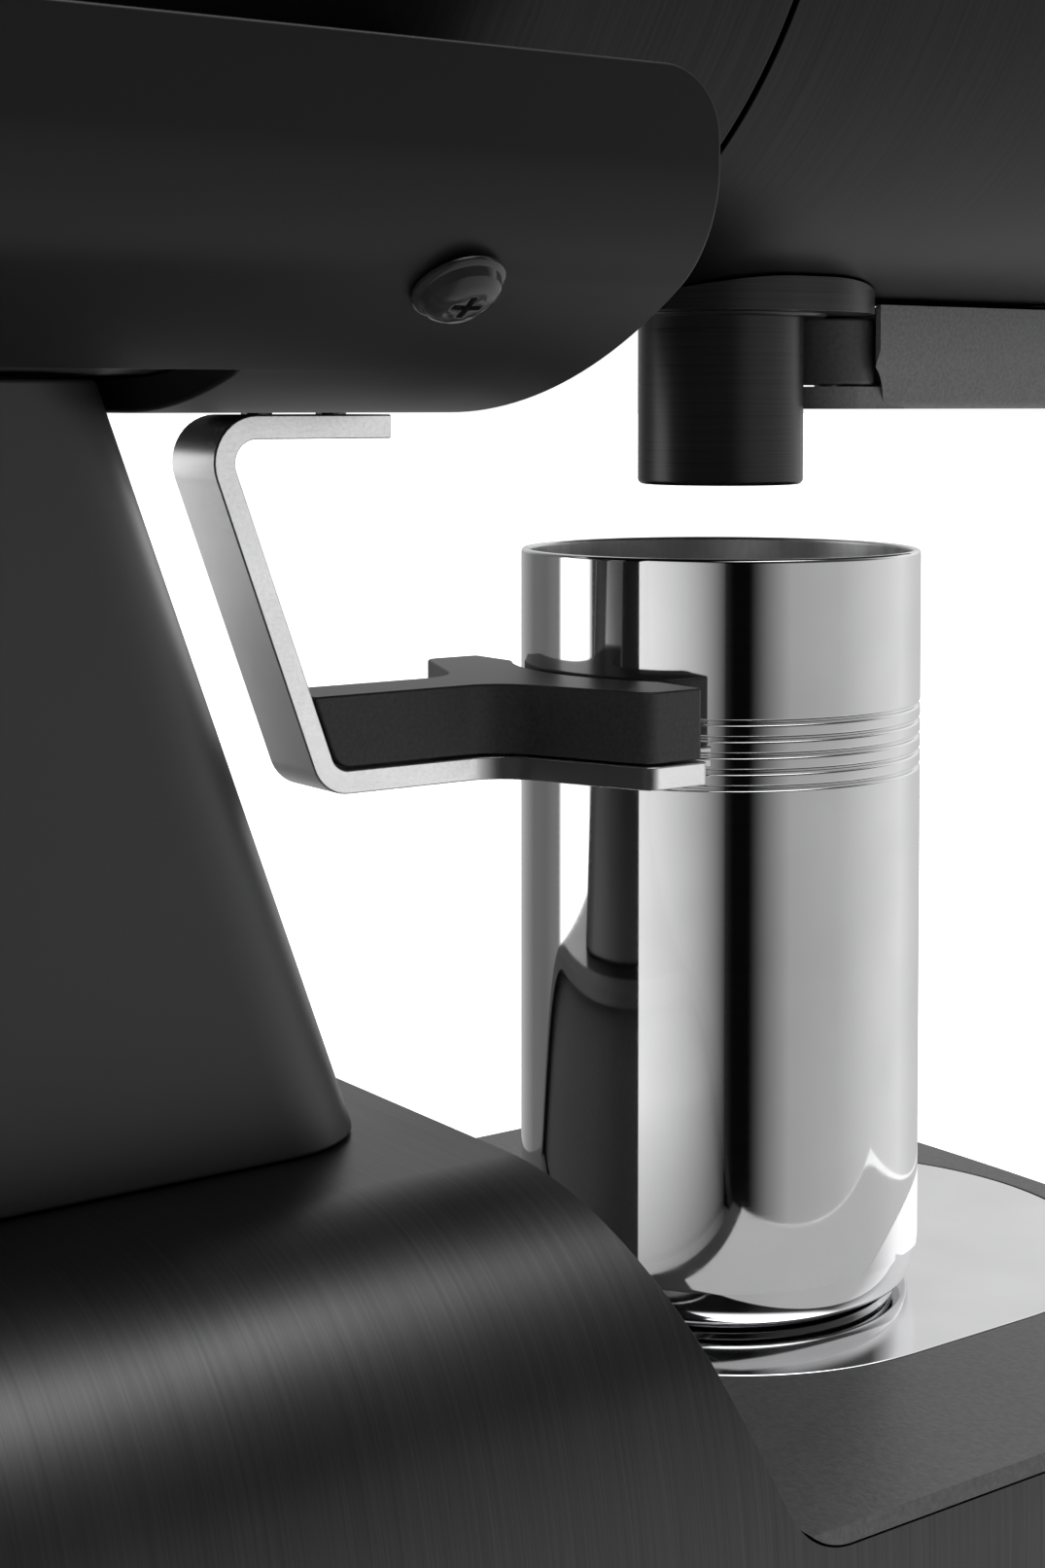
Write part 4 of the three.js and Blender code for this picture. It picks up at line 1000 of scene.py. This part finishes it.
def hopper_collar():
    """The collar between the drum and the hopper, with the slot that the bean gate slides in."""
    low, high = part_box("hopper_collar")
    bore = 13.3 * MM
    radius = high.x
    profile = [(bore, low.z), (radius, low.z), (radius, high.z), (bore, high.z)]
    grip_drop = 3 * MM  # how far the gate's grip reaches below its plate
    gate_thick = 2.4 * MM
    gate_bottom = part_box("bean_gate")[0].z + grip_drop
    half = 16.4 * MM
    left = -20 * MM
    right = radius + MM
    corners = [(left, -half), (right, -half), (right, half), (left, half)]
    slot = [(x, HOPPER_Y + y) for x, y in corners]
    tools = [
        drum_tool(DRUM_RADIUS + GAP, HOPPER_Y - 2 * radius, HOPPER_Y + 2 * radius),
        extruded(slot, gate_bottom - GAP, gate_bottom + gate_thick + GAP, upwards),
    ]
    upright_piece("collar_body", profile, "satin_black", "stand", "hopper_collar", HOPPER_AXIS, tools)


def hopper():
    """A smoked bowl: a stub in the collar, a funnel and a straight wall with a rolled lip."""
    low, high = HOPPER
    lip = 1.25 * MM
    profile = in_mm([(13, 0), (32, 0), (32, 4), (20, 6), (44, 30)], low.z)
    profile += arc(high.x - lip, high.z - lip, lip, 0, math.pi, 10)
    profile += [(high.x - 2 * lip, low.z + 31 * MM), (13 * MM, low.z + 8 * MM)]
    upright_piece("hopper_bowl", profile, "smoked_plastic", "stand", "hopper", HOPPER_AXIS)


def hopper_lid():
    """A lid with a skirt inside the bowl and a waisted knob."""
    knob_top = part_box("hopper_lid")[1].z
    skirt = [(0, 0), (37.8, 0), (37.8, -7), (40.8, -7), (40.8, 0)]
    disc = [(45.5, 0), (45.5, 4), (44, 5.5), (12, 5.5)]
    knob = [(9.4, 6.2), (8.1, 8), (8, 9.5), (9.4, 11.2), (10, 13), (9.6, 14.2), (8.5, 15), (0, 15)]
    profile = in_mm(skirt + disc + knob, knob_top - 15 * MM)
    upright_piece("lid_disc", profile, "black_plastic", "hopper_lid", "hopper_lid", HOPPER_AXIS)


def feet():
    """Four turned rubber feet with a groove round each."""
    for end in ("front", "rear"):
        for side in ("left", "right"):
            node = f"foot_{end}_{side}"
            low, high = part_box(node)
            centre = ((low.x + high.x) / 2, (low.y + high.y) / 2, 0)
            radius = (high.x - low.x) / 2
            profile = [(0, 0), (radius - 0.9 * MM, 0), (radius, 0.9 * MM), (radius, 1.9 * MM)]
            profile += [(radius - 0.5 * MM, 2.2 * MM), (radius, 2.5 * MM), (radius, high.z), (0, high.z)]
            upright_piece(f"{node}_pad", profile, "black_rubber", "stand", node, centre)


# ---- stage ----
CAMERA_AT = (-0.27233, AXIS_Y + 0.23014, CUP[1].z + 0.0208)
CAMERA_LOOKS = (0.8128, -0.5812, -0.03949)  # the way it faces
CAMERA_LENS = 56.02  # focal length in mm, on a sensor 36 mm high
CAMERA_SHIFT = -0.1807

# The tent's brightness round the horizon: turn from +X in degrees, and brightness.
TENT = [
    (-180, 0.52),
    (-150, 0.62),
    (-119, 0.92),
    (-95, 1.08),
    (-77, 0.88),
    (-40, 0.64),
    (-19, 0.54),
    (5, 0.21),
    (22, 0.19),
    (36, 0.28),
    (38, 2.0),
    (60, 2.0),
    (63, 0.06),
    (100, 0.06),
    (141, 0.04),
    (147, 0.003),
    (157, 0.003),
    (161, 0.08),
    (168, 0.26),
    (180, 0.52),
]
# What is left of it above the horizon: a backdrop behind the machine, and a dark room elsewhere.
ABOVE = [
    (-180, 0.1),
    (-125, 0.12),
    (-100, 1.0),
    (-75, 1.4),
    (-5, 1.4),
    (20, 0.9),
    (60, 0.9),
    (68, 0.15),
    (180, 0.1),
]
BRIGHTEST = 2.0  # the highest brightness in either list
HORIZON_HEIGHTS = (-0.03, 0.16)  # where the tent's own brightness ends, as the sine of the height
OVERHEAD_HEIGHTS = (0.78, 0.9)  # where the overhead light begins, in the same way
OVERHEAD = 4.0


def floor_white():
    """A pale surface that glows a little, so that it stays white beside a dark machine."""
    made = Material("floor_white", grey(0.85), 0.9)
    made.set("Emission Color", (1, 1, 1, 1))
    made.set("Emission Strength", 0.62)
    return made.material


def floor():
    """A wide pale floor, level with the bottom of the feet."""
    reach = 30.0
    bm = bmesh.new()
    bm.faces.new([bm.verts.new((x, y, 0)) for x, y in rectangle(reach, -reach, reach)])
    obj = piece("floor", mesh_of(bm))
    obj.data.materials.append(floor_white())
    obj.visible_glossy = False


def ring(sky, share, stops):
    """A brightness that runs round the horizon through those stops, by the share of a turn."""
    ramp = sky.node("ShaderNodeValToRGB")
    elements = ramp.color_ramp.elements
    elements.remove(elements[1])
    for i, (degrees, brightness) in enumerate(stops):
        where = (degrees + 180) / 360
        stop = elements[0] if i == 0 else elements.new(where)
        stop.position = where
        stop.color = (*[brightness / BRIGHTEST] * 3, 1)
    sky.join(share, ramp.inputs["Fac"])
    return sky.spread(ramp.outputs["Color"], 0, BRIGHTEST, 0, 1)


def background(sky, tone, strength=1.0):
    made = sky.node("ShaderNodeBackground")
    made.inputs["Color"].default_value = (tone, tone, tone, 1)
    made.inputs["Strength"].default_value = strength
    return made


def mixed(sky, share, first, second):
    """The first shader where share is 0, and the second where it is 1."""
    made = sky.node("ShaderNodeMixShader")
    sky.join(share, made.inputs["Fac"])
    sky.join(first.outputs[0], made.inputs[1])
    sky.join(second.outputs[0], made.inputs[2])
    return made


def studio():
    """A pale tent that is darker where the camera looks in, with a large soft light overhead."""
    world = bpy.data.worlds.new("studio")
    bpy.context.scene.world = world
    world.use_nodes = True
    sky = Nodes(world.node_tree)
    way = sky.node("ShaderNodeSeparateXYZ")
    sky.join(sky.node("ShaderNodeTexCoord").outputs["Generated"], way.inputs[0])
    turn = sky.node("ShaderNodeMath", operation="ARCTAN2")
    sky.join(way.outputs["Y"], turn.inputs[0])
    sky.join(way.outputs["X"], turn.inputs[1])
    share = sky.spread(turn.outputs[0], 0, 1, -math.pi, math.pi)
    rise = sky.spread(way.outputs["Z"], 0, 1, *HORIZON_HEIGHTS, interpolation_type="SMOOTHSTEP")
    left = sky.node("ShaderNodeMix")
    left.inputs["A"].default_value = 1.0
    sky.join(rise, left.inputs["Factor"])
    sky.join(ring(sky, share, ABOVE), left.inputs["B"])
    horizon = background(sky, 0.8)
    sky.join(sky.times(ring(sky, share, TENT), left.outputs["Result"]), horizon.inputs["Strength"])
    top = sky.spread(way.outputs["Z"], 0, 1, *OVERHEAD_HEIGHTS, interpolation_type="SMOOTHSTEP")
    lit = mixed(sky, top, horizon, background(sky, 1.0, OVERHEAD))
    by_camera = sky.node("ShaderNodeLightPath").outputs["Is Camera Ray"]
    shown = mixed(sky, by_camera, lit, background(sky, 1.0))
    sky.join(shown.outputs[0], sky.tree.nodes["World Output"].inputs["Surface"])


def softbox(name, lit_piece, place, faces, sideways, size, glow):
    """A soft rectangular light on one piece only: the way it faces, and the way its width runs."""
    light = bpy.data.lights.new(name, "AREA")
    light.shape = "RECTANGLE"
    light.size, light.size_y = size
    light.energy = glow * math.pi * light.size * light.size_y
    obj = bpy.data.objects.new(name, light)
    back = -Vector(faces).normalized()
    side = Vector(sideways).normalized()
    turn = Matrix((side, back.cross(side), back)).transposed()
    obj.matrix_world = Matrix.Translation(place) @ turn.to_4x4()
    obj.visible_camera = False
    lit = bpy.data.collections.new(f"{name}_lights")
    lit.objects.link(bpy.data.objects[lit_piece])
    obj.light_linking.receiver_collection = lit
    bpy.context.scene.collection.objects.link(obj)
    return light


def faded(light, far, low, low_end):
    """Lets a light fade across its width from 1 to far, and up from low at its bottom edge."""
    light.use_nodes = True
    nodes = Nodes(light.node_tree)
    spot = nodes.node("ShaderNodeSeparateXYZ")
    nodes.join(nodes.node("ShaderNodeNewGeometry").outputs["Parametric"], spot.inputs[0])
    wide = nodes.spread(spot.outputs["X"], 1.0, far, 0, 1)
    tall = nodes.spread(spot.outputs["Y"], low, 1.0, 0, low_end)
    nodes.join(nodes.times(wide, tall), nodes.tree.nodes["Emission"].inputs["Strength"])


def softboxes():
    """Small lights that pick out the cup's side, the bracket's faces and the column's nose."""
    beside_cup = (-38 * MM, AXIS_Y + 47 * MM, 86 * MM)
    card = softbox("cup_card", "cup_body", beside_cup, (0, -1, 0), (-1, 0, 0), (46 * MM, 128 * MM), 0.95)
    faded(card, 0.03, 0.4, 0.22)
    over_tray = TRAY[1].z + 0.4 * MM
    tray_parts = [("left", -51, -14, (42 * MM, 108 * MM)), ("front", 15, -49, (90 * MM, 38 * MM))]
    for name, x, y, size in tray_parts:
        place = (x * MM, AXIS_Y + y * MM, over_tray)
        softbox(f"tray_glow_{name}", "cup_body", place, (0, 0, 1), (1, 0, 0), size, 0.45)
    along = (-0.5, 0.87, 0)
    softbox("bracket_back", "bracket_strip", (0.5, 0.32, 0.15), (-0.87, -0.5, 0), along, (0.5, 0.5), 0.75)
    softbox("bracket_side", "bracket_strip", (-0.55, -0.33, 0.1), (0.87, 0.5, 0), along, (0.4, 0.4), 0.6)
    softbox("nose_card", "column_tube", (0.3, -0.6, 0.1), (-0.5, 1, 0), (1, 0.5, 0), (0.3, 0.6), 2.2)


def camera():
    """The camera stands low beside the machine and looks past the column at the cup."""
    data = bpy.data.cameras.new("camera")
    data.lens = CAMERA_LENS
    data.sensor_width = 36
    data.shift_y = CAMERA_SHIFT
    data.clip_start = 0.01
    data.clip_end = 100
    obj = bpy.data.objects.new("camera", data)
    obj.location = CAMERA_AT
    obj.rotation_mode = "QUATERNION"
    obj.rotation_quaternion = Vector(CAMERA_LOOKS).to_track_quat("-Z", "Y")
    bpy.context.scene.collection.objects.link(obj)
    bpy.context.scene.camera = obj


base_shell()
cradle()
column()
cradle_screws()
fork_bracket()
fork_pad()
cup()
spout()
chute_flange()
release_lever()
drip_tray()
tray_plate()
drum_shell("housing_shell", "motor_housing", HOUSING_WALL)
drum_shell("head_shell", "grinding_head", HEAD_WALL)
adjust_ring()
front_cap()
start_button()
rear_cap()
hopper_collar()
hopper()
hopper_lid()
feet()
for part in frame["record"]["subparts"]:
    if not frame["nodes"][part["node"]].hide_render:
        keep(part["node"], FINISHES[part["material_slot"]])
floor()
studio()
softboxes()
camera()
bpy.context.scene.view_settings.view_transform = "Standard"
